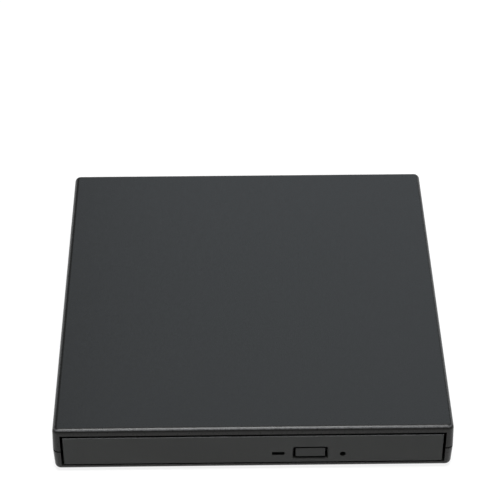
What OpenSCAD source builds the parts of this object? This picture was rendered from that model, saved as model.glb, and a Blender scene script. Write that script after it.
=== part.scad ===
// External slim disc drive: a two-shell plastic case around a tray-loading optical drive,
// with a bridge board, a square data socket and a round power socket at the rear.
// The front faces -Y, the origin lies on the table under the middle of the case.

/* [Case] */
// Room between the slim drive and each side wall
side_room = 3.8; // [3:0.1:10]
// Room between the slim drive and the roof
head_room = 1.8; // [1.4:0.1:6]
// Room between the slim drive and the sockets behind it
socket_room = 0.9; // [0.6:0.1:12]
// Thickness of the side and rear walls
case_wall = 2.2; // [1.8:0.1:2.6]
// Thickness of the roof
case_roof = 2; // [1.6:0.1:2.2]
// Thickness of the floor
case_floor = 1.8; // [1.6:0.1:2.2]
// Radius of the upright corners
corner_r = 2.2; // [2:0.1:5]
// Radius of the rounded top edge
edge_r = 1.8; // [0.6:0.1:1.9]
// Radius of the rounded bottom edge
base_r = 1.6; // [0.6:0.1:1.9]
// Widening of each shell towards the seam
shell_draft = 0.3; // [0:0.05:0.6]
// Height of the seam above the underside
seam_h = 8.7; // [8.2:0.1:9.6]
// Visible gap of the seam
seam_gap = 0.6; // [0.1:0.05:0.7]

/* [Front opening] */
// Height of the sill under the opening
sill_h = 0.2; // [0.1:0.1:0.6]
// Step of the opening in from each side wall
cheek_in = 0.3; // [0:0.1:1]
// Drop of the brow over the opening
brow_h = 0.6; // [0.3:0.1:0.9]

/* [Feet] */
// Height that a foot stands out of the underside
foot_h = 1; // [0.6:0.1:3]
// Diameter of a foot
foot_d = 10; // [6:0.5:11]
// Depth of the pocket that a foot is stuck into
foot_sink = 0.4; // [0.2:0.1:0.8]

/* [Bezel and controls] */
// Thickness of the bezel
bezel_t = 4; // [3:0.1:4.2]
// Setback of the bezel from the front of the case
bezel_inset = 0; // [0:0.1:0.5]
// Gap at each end of the bezel
bezel_gap_side = 0.8; // [0.5:0.1:1.5]
// Gap over the bezel
bezel_gap_top = 1; // [0.4:0.1:1.2]
// Gap under the bezel
bezel_gap_bottom = 0.3; // [0.25:0.05:0.6]
// Width of the eject button
button_w = 10.4; // [8:0.2:12]
// Height of the eject button
button_h = 4.2; // [3.2:0.1:4.8]
// Distance of the eject button from the emergency hole
button_off = 11.4; // [9.5:0.1:13]
// Travel of the eject button
button_travel = 0.6; // [0.3:0.05:0.8]
// Distance of the lamp window from the eject button
led_off = 11.3; // [9.8:0.1:13]
// Width of the lamp window
led_w = 4.5; // [3:0.1:5]
// Height of the lamp window
led_h = 1.6; // [0.8:0.1:1.8]
// Diameter of the emergency eject hole
pinhole_d = 2.2; // [1.2:0.1:2.2]

/* [Slim drive] */
// Room between the disc hub and the lid
lid_gap = 1.1; // [0.8:0.1:2.5]
// Sheet thickness of the drive base
base_t = 0.8; // [0.6:0.05:0.9]
// Sheet thickness of the drive lid
lid_t = 0.6; // [0.4:0.05:0.7]

/* [Tray and rails] */
// Diameter of the disc that the tray takes
disc_d = 120; // [108:0.5:132]
// Thickness of the tray floor
tray_floor_t = 1.1; // [0.9:0.1:1.3]
// Depth of the disc well below the tray rim
well_depth = 3; // [2:0.1:3.3]
// Thickness of the tray side walls
tray_wall = 1.5; // [1.2:0.1:1.8]
// Sheet thickness of the slide rails
rail_t = 0.8; // [0.6:0.05:0.9]
// Running gap between the sliding pieces
run_gap = 0.3; // [0.2:0.05:0.4]

/* [Disc mechanism] */
// Direction of the pickup travel, from +X towards +Y
sled_angle = 225; // [224:0.5:226]
// Distance of the lens from the spindle at rest
lens_r = 24; // [23.6:0.1:25]
// Diameter of the main guide rod
main_rod_d = 2.4; // [2:0.1:2.5]
// Diameter of the second guide rod
sub_rod_d = 2; // [1.6:0.1:2.2]
// Pitch of the feed screw
screw_pitch = 3; // [2.6:0.1:3.2]
// Diameter of the spindle shaft
shaft_d = 3; // [2.4:0.1:3.4]
// Diameter of the disc hub
hub_d = 14.8; // [14.4:0.1:14.8]
// Diameter of the turntable
turntable_d = 29; // [26:0.5:29.4]
// Turn of the eject latch between free and locked
latch_swing = 18; // [14:1:20]

/* [Sockets] */
// Place of the data socket along the rear
usb_x = -8; // [-10:0.5:-2]
// Place of the power socket along the rear
dc_x = -34; // [-40:0.5:-31]
// Diameter of the power socket's bore
dc_bore_d = 6.3; // [5.8:0.1:6.6]
// Diameter of the power socket's centre pin
dc_pin_d = 2; // [1.6:0.1:2.5]

/* [Hidden] */
$fn = 48;

// Overshoot of every cutting solid past the face it opens
cut = 1;
// Side clearance of a fixed piece in its seat, and of a screw in its hole
seat_gap = 0.1;
// Radial clearance of a shaft in its bearing
bearing_gap = 0.05;

// Tray round the disc, in the drive's frame: the well runs out through its sides and rear
bezel_seat = 0.4;
tray_front = -bezel_seat;
tray_front_wall = 1.6;
well_gap = 0.6;
well_front = 0.3;
well_over_side = 0.2;
well_over_rear = 1.6;
well_r = disc_d / 2 + well_gap;
spindle_y = tray_front + tray_front_wall + well_r + well_front;
tray_half = well_r - well_over_side;
tray_rear = spindle_y + well_r - well_over_rear;
tray_floor_z = 6.8;
well_z = tray_floor_z + tray_floor_t;
rim_z = well_z + well_depth;
turntable_z = 7.5;
turntable_t = 1.3;
turntable_top = turntable_z + turntable_t;
hub_h = 2.2;

// Slim drive round the tray
tray_side = 2.8;
tray_end = 2.7;
half_w = tray_half + tray_side + base_t;
drive_w = 2 * half_w;
drive_d = tray_rear + tray_end + base_t;
lid_z = max(rim_z, turntable_top + hub_h) + lid_gap;
drive_h = lid_z + lid_t;

// Case round the slim drive and the sockets behind it
pad_h = 0.7;
usb_d = 15.8;
usb_back = 0.3;
dc_d = 13.4;
rear_room = max(usb_d + usb_back - case_wall, dc_d + seat_gap) + socket_room;
case_w = drive_w + 2 * (side_room + case_wall);
case_d = bezel_inset + bezel_t + bezel_seat + drive_d + rear_room + case_wall;
case_h = case_floor + pad_h + drive_h + head_room + case_roof;

// Case levels and faces
case_z = foot_h;
floor_z = case_z + case_floor;
roof_z = case_z + case_h - case_roof;
seam_z = case_z + seam_h;
front_y = -case_d / 2;
rear_y = case_d / 2;
in_w = case_w - 2 * case_wall;
in_rear_y = rear_y - case_wall;
in_r = max(corner_r - case_wall, 0.4);
open_w = in_w - 2 * cheek_in;
open_lo = floor_z + sill_h;
open_hi = roof_z - brow_h;

// Tongue of the lower shell inside the upper one
tongue_t = 1;
tongue_h = 1.3;
tongue_gap = 0.15;

// Snap tabs of the upper shell and their windows in the lower one
snap_in = 28;
snap_ys = [front_y + snap_in, 0, rear_y - snap_in];
snap_w = 6;
snap_t = 1;
snap_gap = 0.2;
snap_nib = 0.6;
snap_nib_h = 1;
snap_drop = 4.2;
snap_root_h = 2.5;

// Pads that carry the drive, its screws and the feet
pad_r = 4;
drive_screw_in = 7;
drive_screw_front = 20;
drive_screw_rear = 40.6;
drive_screw_x = half_w - drive_screw_in;
drive_screw_ys = [drive_screw_front, drive_d - drive_screw_rear];
foot_side_in = 15;
foot_x = case_w / 2 - foot_side_in;
foot_front_in = 12;
foot_rear_in = 23;

// Screws: shank radius, head radius and head height
m2_r = 1;
m2_head_r = 1.9;
m2_head_h = 1.2;
case_screw_r = 1.2;
case_screw_head_r = 2.4;
case_screw_head_h = 1.6;
case_screw_l = 11;
case_boss_r = 3.2;
case_screw_in_x = 9;
case_screw_in_y = 9;
case_post_h = 3.2;

// The slim drive's own frame: x from its middle, y from its front edge, z from its underside
drive_y = front_y + bezel_inset + bezel_t + bezel_seat;
drive_z = floor_z + pad_h;
lid_flange = 5;
lid_panel_in = 15;

// Ribs of the roof that hold the drive down
roof_rib_t = 1.2;
roof_rib_in = 4;
roof_rib_half = half_w - roof_rib_in;
roof_rib_front = 28;
roof_rib_rear = 26.6;
roof_rib_ys = [roof_rib_front, drive_d - roof_rib_rear];

// Bezel
bezel_w = open_w - 2 * bezel_gap_side;
bezel_lo = open_lo + bezel_gap_bottom;
bezel_hi = open_hi - bezel_gap_top;
bezel_h = bezel_hi - bezel_lo;
bezel_front = front_y + bezel_inset;
bezel_back = bezel_front + bezel_t;
bezel_corner_r = 0.5;
// Heights of the controls above the bezel's lower edge
button_up = 4.6;
led_up = 4.45;
pinhole_up = 4;
latch_in = 22.4;
pinhole_off = 6.5;
latch_x = tray_half - latch_in;
pinhole_x = latch_x - pinhole_off;
button_x = pinhole_x - button_off;
led_x = button_x - led_off;
button_z = bezel_lo + button_up;
led_z = bezel_lo + led_up;
pinhole_z = bezel_lo + pinhole_up;
button_gap = 0.85;
button_r = 0.4;
recess_x = 1.3;
recess_z = 1.1;
recess_depth = 0.7;
recess_r = 1;
button_proud = 0.25;
button_flange = 1.3;
button_flange_t = 0.8;

// Underside of the tray, and the window behind the controls
tray_lo = base_t + 0.9;
window_end_l = 5.8;
window_end_r = 3;
window_x0 = led_x - window_end_l;
window_x1 = pinhole_x + window_end_r;
window_z = tray_floor_z - 0.3;

// Slide rails and their guides, in the drive's frame
rail_lo = 3.4;
rail_hi = 8.2;
guide_lip = 0.8;
guide_back = 0.7;
guide_y0 = 2;
guide_end_gap = 3;
rail_out = half_w - base_t - guide_back - run_gap;
rail_in = tray_half + run_gap;
rail_y0 = 9;
rail_end = 6.6;
rail_l = drive_d - rail_y0 - rail_end;
tray_rib_out = rail_out - rail_t - run_gap;
tray_rib_lo = rail_lo + rail_t + run_gap;
tray_rib_hi = rail_hi - rail_t - run_gap;

// Boards of the drive
board_t = 1;
main_board_in_l = 24;
main_board_in_r = 6.5;
main_board_x = [main_board_in_l - half_w, half_w - main_board_in_r];
main_board_off = 30.5;
main_board_y0 = spindle_y + main_board_off;
main_board_end = 2.2;
main_board_y1 = drive_d - base_t - main_board_end;
main_board_z = base_t + 0.8;
main_post_r = 2;
tray_board_t = 0.8;
tray_board_z = tray_floor_z - tray_board_t;
tray_board_in_r = 3.4;
tray_board_in_l = 4.8;
tray_board_x = [led_x - tray_board_in_l, tray_half - tray_board_in_r];
tray_strip_w = 20;
tray_strip_x = tray_board_x[1] - tray_strip_w;
tray_board_y0 = tray_front + tray_front_wall + 2 * seat_gap;
tray_board_d = 10;
tray_board_y1 = tray_board_y0 + tray_board_d;
tray_strip_end = 11.1;
tray_strip_y1 = tray_rear - tray_strip_end;

// Flat flexible cable between the main board and the tray board
flex_in = 2;
flex_w = 13.8;
flex_x = [main_board_x[1] - flex_in - flex_w, main_board_x[1] - flex_in];
flex_t = 0.25;
flex_low_z = base_t + 0.35;
flex_high_z = tray_board_z - 0.75;
flex_socket_w = 16;
flex_socket_d = 4;
flex_socket_h = 1.7;
flex_socket_in = 6;
flex_loop = 60;
flex_ramp = 8.6;
main_socket_y = main_board_y0 + 0.6;
tray_socket_y = tray_strip_y1 - flex_socket_in;
flex_turn_y = tray_socket_y - flex_loop;
flex_ramp_y = main_board_y0 - flex_ramp;

// Drive connector and its mate on the bridge board
link_w = 44;
link_in = 1.5;
link_x = main_board_x[1] - link_in - link_w / 2;
link_tongue_h = 2.3;
link_tongue_out = 3;
link_body_h = 4.2;
link_body_d = 7;
link_wall = 1.4;
link_gap = 0.15;

// Bridge board with its sockets
bridge_post_h = 1.4;
bridge_t = 1.2;
bridge_z = floor_z + bridge_post_h;
bridge_top = bridge_z + bridge_t;
bridge_side = 12.8;
bridge_front = 1.2;
bridge_rear = 0.3;
bridge_half = in_w / 2 - bridge_side;
bridge_y0 = drive_y + drive_d + bridge_front;
bridge_y1 = in_rear_y - bridge_rear;
bridge_screw_in_x = 5;
bridge_screw_in_y = 3;
bridge_screw_x = bridge_half - bridge_screw_in_x;
bridge_screw_y = bridge_y1 - bridge_screw_in_y;
bridge_post_r = 2.6;
usb_w = 12;
usb_h = 10.8;
usb_skin = 0.4;
usb_mouth_w = 8.45;
usb_mouth_h = 7.78;
usb_mouth_cut = 1.6;
usb_mouth_d = 9;
usb_tongue_w = 5.6;
usb_tongue_h = 3.2;
usb_tongue_short = 1.2;
usb_contact_w = 1;
usb_contact_t = 0.2;
usb_contact_pitch = 2.5;
usb_port_gap = 0.35;
dc_w = 9;
dc_h = 11;
dc_axis_up = 6.5;
dc_bore_l = 9.5;
dc_pin_l = 9;
dc_port_r = 4.2;
dc_z = bridge_top + dc_axis_up;
usb_z = bridge_top + usb_h / 2;

// Traverse frame, in its own frame: x along the pickup travel from the spindle, z as the drive's
frame_t = 1;
frame_top = tray_floor_z - 0.5;
frame_lo = frame_top - frame_t;
// Reach of the frame from the spindle to the front corner of the tray, at 45 degrees
frame_room = 1.64;
frame_far_y = 14.8;
reach_y = spindle_y - tray_front - tray_front_wall - frame_room;
reach = reach_y * sqrt(2) - frame_far_y;
frame_outline = [
    [-20.5, -16.5], [-16, -19.4], [reach - 8, -19.4], [reach, -12.6],
    [reach, frame_far_y], [reach - 4.8, 21], [-20.5, 21.5]
];
slot_x0 = 14;
slot_x1 = reach - 2.4;
slot_y0 = -9.8;
slot_y1 = 11.1;
// Length of the pickup sled on either side of its lens
sled_inner = 9;
sled_outer = 8;
rod_z = 3.5;
main_rod_y = 13;
sub_rod_y = -11.5;
rod_seat_l = 2.6;
rod_seat_gap = 1.4;
rod_seat_x1 = lens_r - sled_inner - rod_seat_gap;
rod_seat_x = [[rod_seat_x1 - rod_seat_l, rod_seat_x1], [reach - rod_seat_l + 0.3, reach]];
rod_x0 = rod_seat_x[0][0] + 2 * seat_gap;
rod_x1 = reach - 2 * seat_gap;
rod_seat_half = 1.8;
rod_seat_lo = 1.9;
// Sheet that closes the frame under the pickup
under_z = [base_t + 0.52, 1.55];
rod_hold_gap = 0.02;
damper_at = [[-17, -13], [-17, 17.4], [reach - 9, -16.4], [reach - 7, 18]];
damper_hole_r = 2;
damper_flange_r = 2.6;
damper_screw_r = 0.8;
pilot_depth = tray_floor_t - 0.3;
damper_lower_t = 0.6;
damper_head_h = 0.7;
cover_t = 0.4;
cover_gap = 0.05;
cover_x = [-14, reach - 3];
cover_y = [-12.7, 14.1];
cover_slot_half = 7.6;
cover_slot_x = [lens_r - 7.5, reach - 4];
opening_margin = 0.6;

// Spindle motor
motor_base_z = 1.7;
motor_base_t = 0.8;
motor_base_r = 13;
motor_post_at = [135, 225, 300];
motor_post_ring = 16.5;
motor_post_r = 1.8;
motor_screw_r = 0.7;
motor_screw_head_r = 1.5;
motor_screw_head_h = 0.5;
sleeve_r = 3;
sleeve_top = 5.9;
stator_r = 9.8;
stator_hub_r = 4.6;
stator_poles = 9;
stator_arm = 1.4;
stator_lo = 3.5;
stator_t = 1.6;
coil_wall = 0.5;
coil_x = [5.4, 8.6];
cup_r = 12;
cup_wall = 0.9;
cup_lo = 2.9;
cup_top = 6.8;
cup_roof = 0.6;
magnet_t = 0.7;
shaft_lo = motor_base_z + motor_base_t + 0.1;
seat_r = 5;
mat_t = 0.3;
mat_in_r = 10;
mat_edge = 0.4;
hub_wall_h = 1.5;
hub_cone = 0.9;
claw_w = 2.2;
claw_lo = 0.7;
claw_h = 1.1;
claw_in_r = 4.2;
claw_proud = 0.2;
claw_back = 0.6;
claw_slot = 0.15;

// Pickup
sled_x0 = lens_r - sled_inner;
sled_x1 = lens_r + sled_outer;
sled_y0 = -9;
sled_y1 = 10.4;
sled_lo = 1.7;
sled_mid = 5.2;
sled_top = 6;
bush_y1 = main_rod_y + 2.1;
fork_y0 = sub_rod_y - 1.7;
fork_lo = rod_z - 1.8;
yoke_half_x = 5;
yoke_half_y = 6.6;
yoke_z = 7.7;
yoke_wall = 1.4;
lens_half_x = 3.3;
lens_half_y = 4.4;
lens_gap = 0.3;
holder_lo = sled_top + 0.6;
holder_hi = 7.8;
lens_dome_r = 2.4;
lens_rise = 0.35;
diode_r = 1.7;
diode_l = 2.6;

// Feed screw
screw_y = 17.5;
feed_motor_x = [-6, 8];
feed_motor_r = 2.3;
feed_motor_flange = 0.8;
feed_motor_bore = 5;
screw_r = 1.1;
screw_wave = 0.4;
screw_shaft_r = 0.8;
screw_thread_x = [11, reach - 14.5];
screw_end = reach - 11.4;
screw_rings = 8;
screw_sides = 10;
screw_seat_x = [reach - 13.6, reach - 11.2];
nut_x = lens_r - 6;
nut_l = 6;
nut_h = 1.8;
nut_tooth_w = 0.8;
nut_tooth_h = 0.8;
nut_gap = 0.15;
nut_bite = 0.3;
// The wave leaves room for the nut's tooth
screw_phase = 360 * (nut_x - screw_thread_x[0]) / screw_pitch;

// Eject latch and solenoid, in the drive's frame
latch_y = 6;
latch_z = 3;
latch_t = 1.4;
latch_boss_r = 2.2;
latch_pin_r = 0.8;
latch_head_r = 1.6;
latch_head_t = 0.5;
latch_arm = 1.5;
latch_arm_x = 2.6;
latch_jaw_y = 11.4;
latch_jaw_l = 4.4;
latch_jaw_t = 1.35;
latch_tail = 7.4;
latch_tail_t = 1.6;
post_x = 0.8;
post_y = 9.5;
post_r = 1.25;
post_top = 4.9;
solenoid_in = 2.8;
solenoid_l = 10.2;
solenoid_x = [tray_half - solenoid_in - solenoid_l, tray_half - solenoid_in];
solenoid_y = [3.4, 13.4];
solenoid_z = [2.3, tray_board_z];
solenoid_skin = 0.8;
coil_r = 1.7;
core_r = 0.7;

// Ejector, in the drive's frame
ejector_in = 10.4;
ejector_x = ejector_in - tray_half;
ejector_z = 4.6;
ejector_r = 1.1;
ejector_l = 38.4;
ejector_y1 = drive_d - base_t - 0.4;
ejector_y0 = ejector_y1 - ejector_l;
ejector_flange_r = 1.9;
ejector_flange_in = 13.1;
ejector_flange_y = tray_rear - ejector_flange_in;
ejector_flange_t = 1;
ejector_wall_in = 25.1;
ejector_wall_t = 1.5;
ejector_wall_y = [tray_rear - ejector_wall_in, tray_rear - ejector_wall_in + ejector_wall_t];
ejector_stop_y = [tray_rear - 1.9, tray_rear - 0.5];
ejector_half = 2.4;
ejector_side = 0.8;
ejector_low = 2.5;
spring_turns = 8;
spring_wire_r = 0.2;
spring_r = 1.6;
spring_rings = 8;
spring_sides = 6;

// A box from its lowest to its highest corner, given axis by axis
module slab(x, y, z) {
    translate([x[0], y[0], z[0]])
        cube([x[1] - x[0], y[1] - y[0], z[1] - z[0]]);
}

// Round bars along the three axes, from one end to the other
module bar_x(r, x) {
    translate([x[0], 0, 0]) rotate([0, 90, 0]) cylinder(r = r, h = x[1] - x[0]);
}
module bar_y(r, y) {
    translate([0, y[1], 0]) rotate([90, 0, 0]) cylinder(r = r, h = y[1] - y[0]);
}
module bar_z(r, z) {
    translate([0, 0, z[0]]) cylinder(r = r, h = z[1] - z[0]);
}

// Faces of a closed tube made of rings of n points
function sweep_faces(rings, n) =
    let (last = rings * n)
    concat(
        [
            for (i = [0 : rings - 1], s = [0 : n - 1])
                let (a = i * n + s, b = i * n + (s + 1) % n)
                each [[a, b + n, b], [a, a + n, b + n]]
        ],
        [for (s = [1 : n - 2]) [0, s, s + 1]],
        [for (s = [1 : n - 2]) [last, last + s + 1, last + s]]
    );

// A flat rectangle with round corners
module round_rect(w, d, r) {
    square([w - 2 * r, d], center = true);
    square([w, d - 2 * r], center = true);
    for (sx = [-1, 1], sy = [-1, 1])
        translate([sx * (w / 2 - r), sy * (d / 2 - r)]) circle(r);
}

// An upright plate with round corners, standing across Y
module face_plate(w, h, r, y) {
    translate([0, y[1], 0])
        rotate([90, 0, 0])
            linear_extrude(y[1] - y[0]) round_rect(w, h, r);
}

// A block with round corners, whose edge follows the child profile
module edged_block(w, d, h) {
    for (k = [0 : 3]) {
        a = (k % 2 == 0) ? w / 2 : d / 2;
        b = (k % 2 == 0) ? d / 2 : w / 2;
        rotate([0, 0, 90 * k])
            translate([a - corner_r, b - corner_r, 0]) {
                rotate_extrude(angle = 90) children();
                rotate([90, 0, 0]) linear_extrude(2 * (b - corner_r)) children();
            }
    }
    slab([corner_r - w / 2, w / 2 - corner_r], [corner_r - d / 2, d / 2 - corner_r], [0, h]);
}

// Profile of a shell's outer edge, rounded at the top
module edge_profile(h, r) {
    polygon([[0, 0], [corner_r + shell_draft, 0], [corner_r, h - r], [0, h - r]]);
    square([corner_r - r, h]);
    intersection() {
        translate([corner_r - r, h - r]) circle(r);
        translate([corner_r - r, h - r]) square(r);
    }
}

// The slim drive's frame, and the frame of its disc mechanism
module in_drive() {
    translate([0, drive_y, drive_z]) children();
}
module in_traverse() {
    in_drive() translate([0, spindle_y, 0]) rotate([0, 0, sled_angle]) children();
}

// The hollow inside both shells
module case_hollow() {
    mid_y = (front_y + case_wall + in_rear_y) / 2;
    depth = in_rear_y - front_y - case_wall;
    translate([0, mid_y, floor_z])
        linear_extrude(roof_z - floor_z) round_rect(in_w, depth, in_r);
    slab([-open_w / 2, open_w / 2], [front_y - cut, front_y + case_wall + in_r], [open_lo, open_hi]);
}

// The ring of a step into the inner faces of the walls
module wall_step(t, z) {
    mid_y = (front_y + in_rear_y) / 2;
    depth = in_rear_y - front_y;
    difference() {
        translate([0, mid_y, z[0]])
            linear_extrude(z[1] - z[0]) round_rect(in_w + 2 * t, depth + 2 * t, in_r + t);
        translate([0, mid_y, z[0] - cut])
            linear_extrude(z[1] - z[0] + 2 * cut) round_rect(in_w, depth, in_r);
        slab(
            [-case_w, case_w],
            [front_y - case_wall - cut, front_y + case_wall + cut],
            [z[0] - cut, z[1] + cut]
        );
    }
}

// Openings for the two sockets in the rear wall
module port_cuts() {
    usb_half = usb_w / 2 + usb_port_gap;
    usb_up = usb_h / 2 + usb_port_gap;
    slab(
        [usb_x - usb_half, usb_x + usb_half],
        [in_rear_y - cut, rear_y + cut],
        [usb_z - usb_up, usb_z + usb_up]
    );
    translate([dc_x, 0, dc_z]) bar_y(dc_port_r, [in_rear_y - cut, rear_y + cut]);
}

module at_case_screws() {
    for (sx = [-1, 1])
        translate([sx * (case_w / 2 - case_screw_in_x), rear_y - case_screw_in_y, 0]) children();
}

module at_snaps() {
    for (y = snap_ys, sx = [0, 1])
        mirror([sx, 0, 0]) translate([in_w / 2, y, 0]) children();
}

module top_cover() {
    boss_lo = floor_z + case_post_h;
    color("#3a3c3e")
        difference() {
            union() {
                difference() {
                    translate([0, 0, seam_z + seam_gap])
                        edged_block(case_w, case_d, case_h - seam_h - seam_gap)
                            edge_profile(case_h - seam_h - seam_gap, edge_r);
                    case_hollow();
                    wall_step(tongue_t + tongue_gap, [seam_z - cut, seam_z + tongue_h + tongue_gap]);
                }
                at_case_screws() bar_z(case_boss_r, [boss_lo, roof_z]);
                for (y = roof_rib_ys)
                    slab(
                        [-roof_rib_half, roof_rib_half],
                        [drive_y + y, drive_y + y + roof_rib_t],
                        [drive_z + drive_h + seat_gap, roof_z]
                    );
                at_snaps() snap_tab();
            }
            port_cuts();
            at_case_screws() bar_z(case_screw_r + seat_gap, [boss_lo - cut, case_z + case_screw_l + cut]);
        }
}

module snap_tab() {
    root = seam_z + tongue_h + tongue_gap + seat_gap;
    tip = seam_z - snap_drop;
    slab([-snap_gap - snap_t, -snap_gap], [-snap_w / 2, snap_w / 2], [tip, root + snap_root_h]);
    slab([-snap_gap - snap_t, seat_gap], [-snap_w / 2, snap_w / 2], [root, root + snap_root_h]);
    slab([-snap_gap, snap_nib - snap_gap], [-snap_w / 2, snap_w / 2], [tip, tip + snap_nib_h]);
}

module snap_window() {
    tip = seam_z - snap_drop;
    half = snap_w / 2 + snap_gap;
    slab([-cut, snap_nib], [-half, half], [tip - snap_gap, tip + snap_nib_h + snap_gap]);
}

module bottom_cover() {
    color("#343638")
        difference() {
            union() {
                difference() {
                    translate([0, 0, seam_z])
                        mirror([0, 0, 1])
                            edged_block(case_w, case_d, seam_h) edge_profile(seam_h, base_r);
                    case_hollow();
                }
                wall_step(tongue_t, [seam_z - seat_gap, seam_z + tongue_h]);
                at_case_screws() bar_z(case_boss_r, [floor_z - seat_gap, floor_z + case_post_h]);
                at_drive_screws() bar_z(pad_r, [floor_z - seat_gap, drive_z]);
                at_bridge_screws() bar_z(bridge_post_r, [floor_z - seat_gap, bridge_z]);
            }
            port_cuts();
            at_snaps() snap_window();
            at_feet() bar_z(foot_d / 2 + seat_gap, [case_z - cut, case_z + foot_sink]);
            at_case_screws() {
                bar_z(case_screw_r + seat_gap, [case_z - cut, floor_z + case_post_h + cut]);
                bar_z(case_screw_head_r + seat_gap, [case_z - cut, case_z + case_screw_head_h]);
            }
            at_drive_screws() {
                bar_z(m2_r + seat_gap, [case_z - cut, drive_z + cut]);
                bar_z(m2_head_r + seat_gap, [case_z - cut, case_z + m2_head_h]);
            }
            at_bridge_screws() bar_z(m2_r + seat_gap, [floor_z, bridge_z + cut]);
        }
}

module at_drive_screws() {
    for (sx = [-1, 1], y = drive_screw_ys)
        translate([sx * drive_screw_x, drive_y + y, 0]) children();
}

module at_bridge_screws() {
    for (sx = [-1, 1])
        translate([sx * bridge_screw_x, bridge_screw_y, 0]) children();
}

module at_feet() {
    for (sx = [-1, 1], y = [front_y + foot_front_in, rear_y - foot_rear_in])
        translate([sx * foot_x, y, 0]) children();
}

module rubber_feet() {
    color("#1c1c1c") at_feet() bar_z(foot_d / 2, [0, case_z + foot_sink]);
}

// A screw with its head down, from the head's underside up
module screw_up(shank_r, head_r, head_h, length, drive_r) {
    difference() {
        union() {
            bar_z(head_r, [0, head_h]);
            bar_z(shank_r, [0, length]);
        }
        translate([0, 0, -cut]) cylinder(r = drive_r, h = cut + head_h / 2, $fn = 6);
    }
}

module case_screws() {
    color("#2a2a2c")
        at_case_screws()
            translate([0, 0, case_z])
                screw_up(
                    case_screw_r, case_screw_head_r, case_screw_head_h, case_screw_l,
                    case_screw_head_r / 2
                );
}

// Small screws: four hold the drive to the floor, two hold the bridge board on its posts
module drive_screws() {
    tip = drive_z + base_t + 0.5;
    color("#8c8f92") {
        at_drive_screws()
            translate([0, 0, case_z]) screw_up(m2_r, m2_head_r, m2_head_h, tip - case_z, m2_r);
        at_bridge_screws()
            translate([0, 0, bridge_top + m2_head_h])
                mirror([0, 0, 1])
                    screw_up(m2_r, m2_head_r, m2_head_h, m2_head_h + bridge_t + bridge_post_h, m2_r);
    }
}

module bridge_board() {
    color("#1e5b35")
        difference() {
            slab([-bridge_half, bridge_half], [bridge_y0, bridge_y1], [bridge_z, bridge_top]);
            at_bridge_screws() bar_z(m2_r + seat_gap, [bridge_z - cut, bridge_top + cut]);
        }
}

// Bridge controller, crystal and capacitors
module bridge_board_parts() {
    chip = [7, 7, 1.2];
    crystal = [8, 3.6, 3.2];
    cap_r = 2;
    cap_h = 5;
    part_gap = 4;
    chip_x = usb_x + usb_w / 2 + part_gap;
    crystal_x = (usb_x - usb_w / 2 + dc_x + dc_w / 2) / 2;
    mid_y = (bridge_y0 + bridge_y1) / 2 + 3 * seat_gap;
    caps = [
        [dc_x - dc_w / 2 - part_gap, bridge_y0 + cap_r + cut],
        [link_x + link_w / 4, mid_y]
    ];
    color("#202224") {
        translate([chip_x, mid_y - chip[1] / 2, bridge_top]) cube(chip);
        translate([crystal_x - crystal[0] / 2, mid_y - crystal[1] / 2, bridge_top]) cube(crystal);
        for (c = caps) translate([c[0], c[1], 0]) bar_z(cap_r, [bridge_top, bridge_top + cap_h]);
    }
}

module usb_box(w, h, y) {
    translate([usb_x, 0, usb_z]) slab([-w / 2, w / 2], y, [-h / 2, h / 2]);
}

module usb_shell() {
    y1 = rear_y - usb_back;
    color("#b9bcbf")
        difference() {
            usb_box(usb_w, usb_h, [y1 - usb_d, y1]);
            usb_box(usb_w - 2 * usb_skin, usb_h - 2 * usb_skin, [y1 - usb_d + usb_skin, y1 + cut]);
        }
}

// The socket's mouth, square with its two upper corners cut off
module usb_mouth() {
    w = usb_mouth_w / 2;
    h = usb_mouth_h / 2;
    polygon([
        [-w, -h], [w, -h], [w, h - usb_mouth_cut],
        [w - usb_mouth_cut, h], [usb_mouth_cut - w, h], [-w, h - usb_mouth_cut]
    ]);
}

module usb_insert() {
    y1 = rear_y - usb_back - seat_gap;
    y0 = rear_y - usb_back - usb_d + usb_skin;
    color("#e6e4dc") {
        difference() {
            usb_box(usb_w - 2 * usb_skin, usb_h - 2 * usb_skin, [y0, y1]);
            translate([usb_x, y1 + cut, usb_z])
                rotate([90, 0, 0]) linear_extrude(usb_mouth_d + cut) usb_mouth();
        }
        usb_box(usb_tongue_w, usb_tongue_h, [y1 - usb_mouth_d - seat_gap, y1 - usb_tongue_short]);
    }
}

module usb_contacts() {
    y1 = rear_y - usb_back - seat_gap;
    color("#caa24a")
        for (sx = [-1, 1], sz = [0, 1])
            translate([usb_x + sx * usb_contact_pitch / 2, 0, usb_z])
                mirror([0, 0, sz])
                    slab(
                        [-usb_contact_w / 2, usb_contact_w / 2],
                        [y1 - usb_mouth_d, y1 - 2 * usb_tongue_short],
                        [usb_tongue_h / 2, usb_tongue_h / 2 + usb_contact_t]
                    );
}

module dc_jack() {
    color("#1d1e20")
        difference() {
            slab(
                [dc_x - dc_w / 2, dc_x + dc_w / 2],
                [in_rear_y - seat_gap - dc_d, in_rear_y - seat_gap],
                [bridge_top, bridge_top + dc_h]
            );
            translate([dc_x, 0, dc_z])
                bar_y(dc_bore_d / 2, [in_rear_y - seat_gap - dc_bore_l, in_rear_y + cut]);
        }
}

module dc_pin() {
    y0 = in_rear_y - seat_gap - dc_bore_l;
    color("#c9c6bc") translate([dc_x, 0, dc_z]) bar_y(dc_pin_d / 2, [y0, y0 + dc_pin_l]);
}

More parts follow.
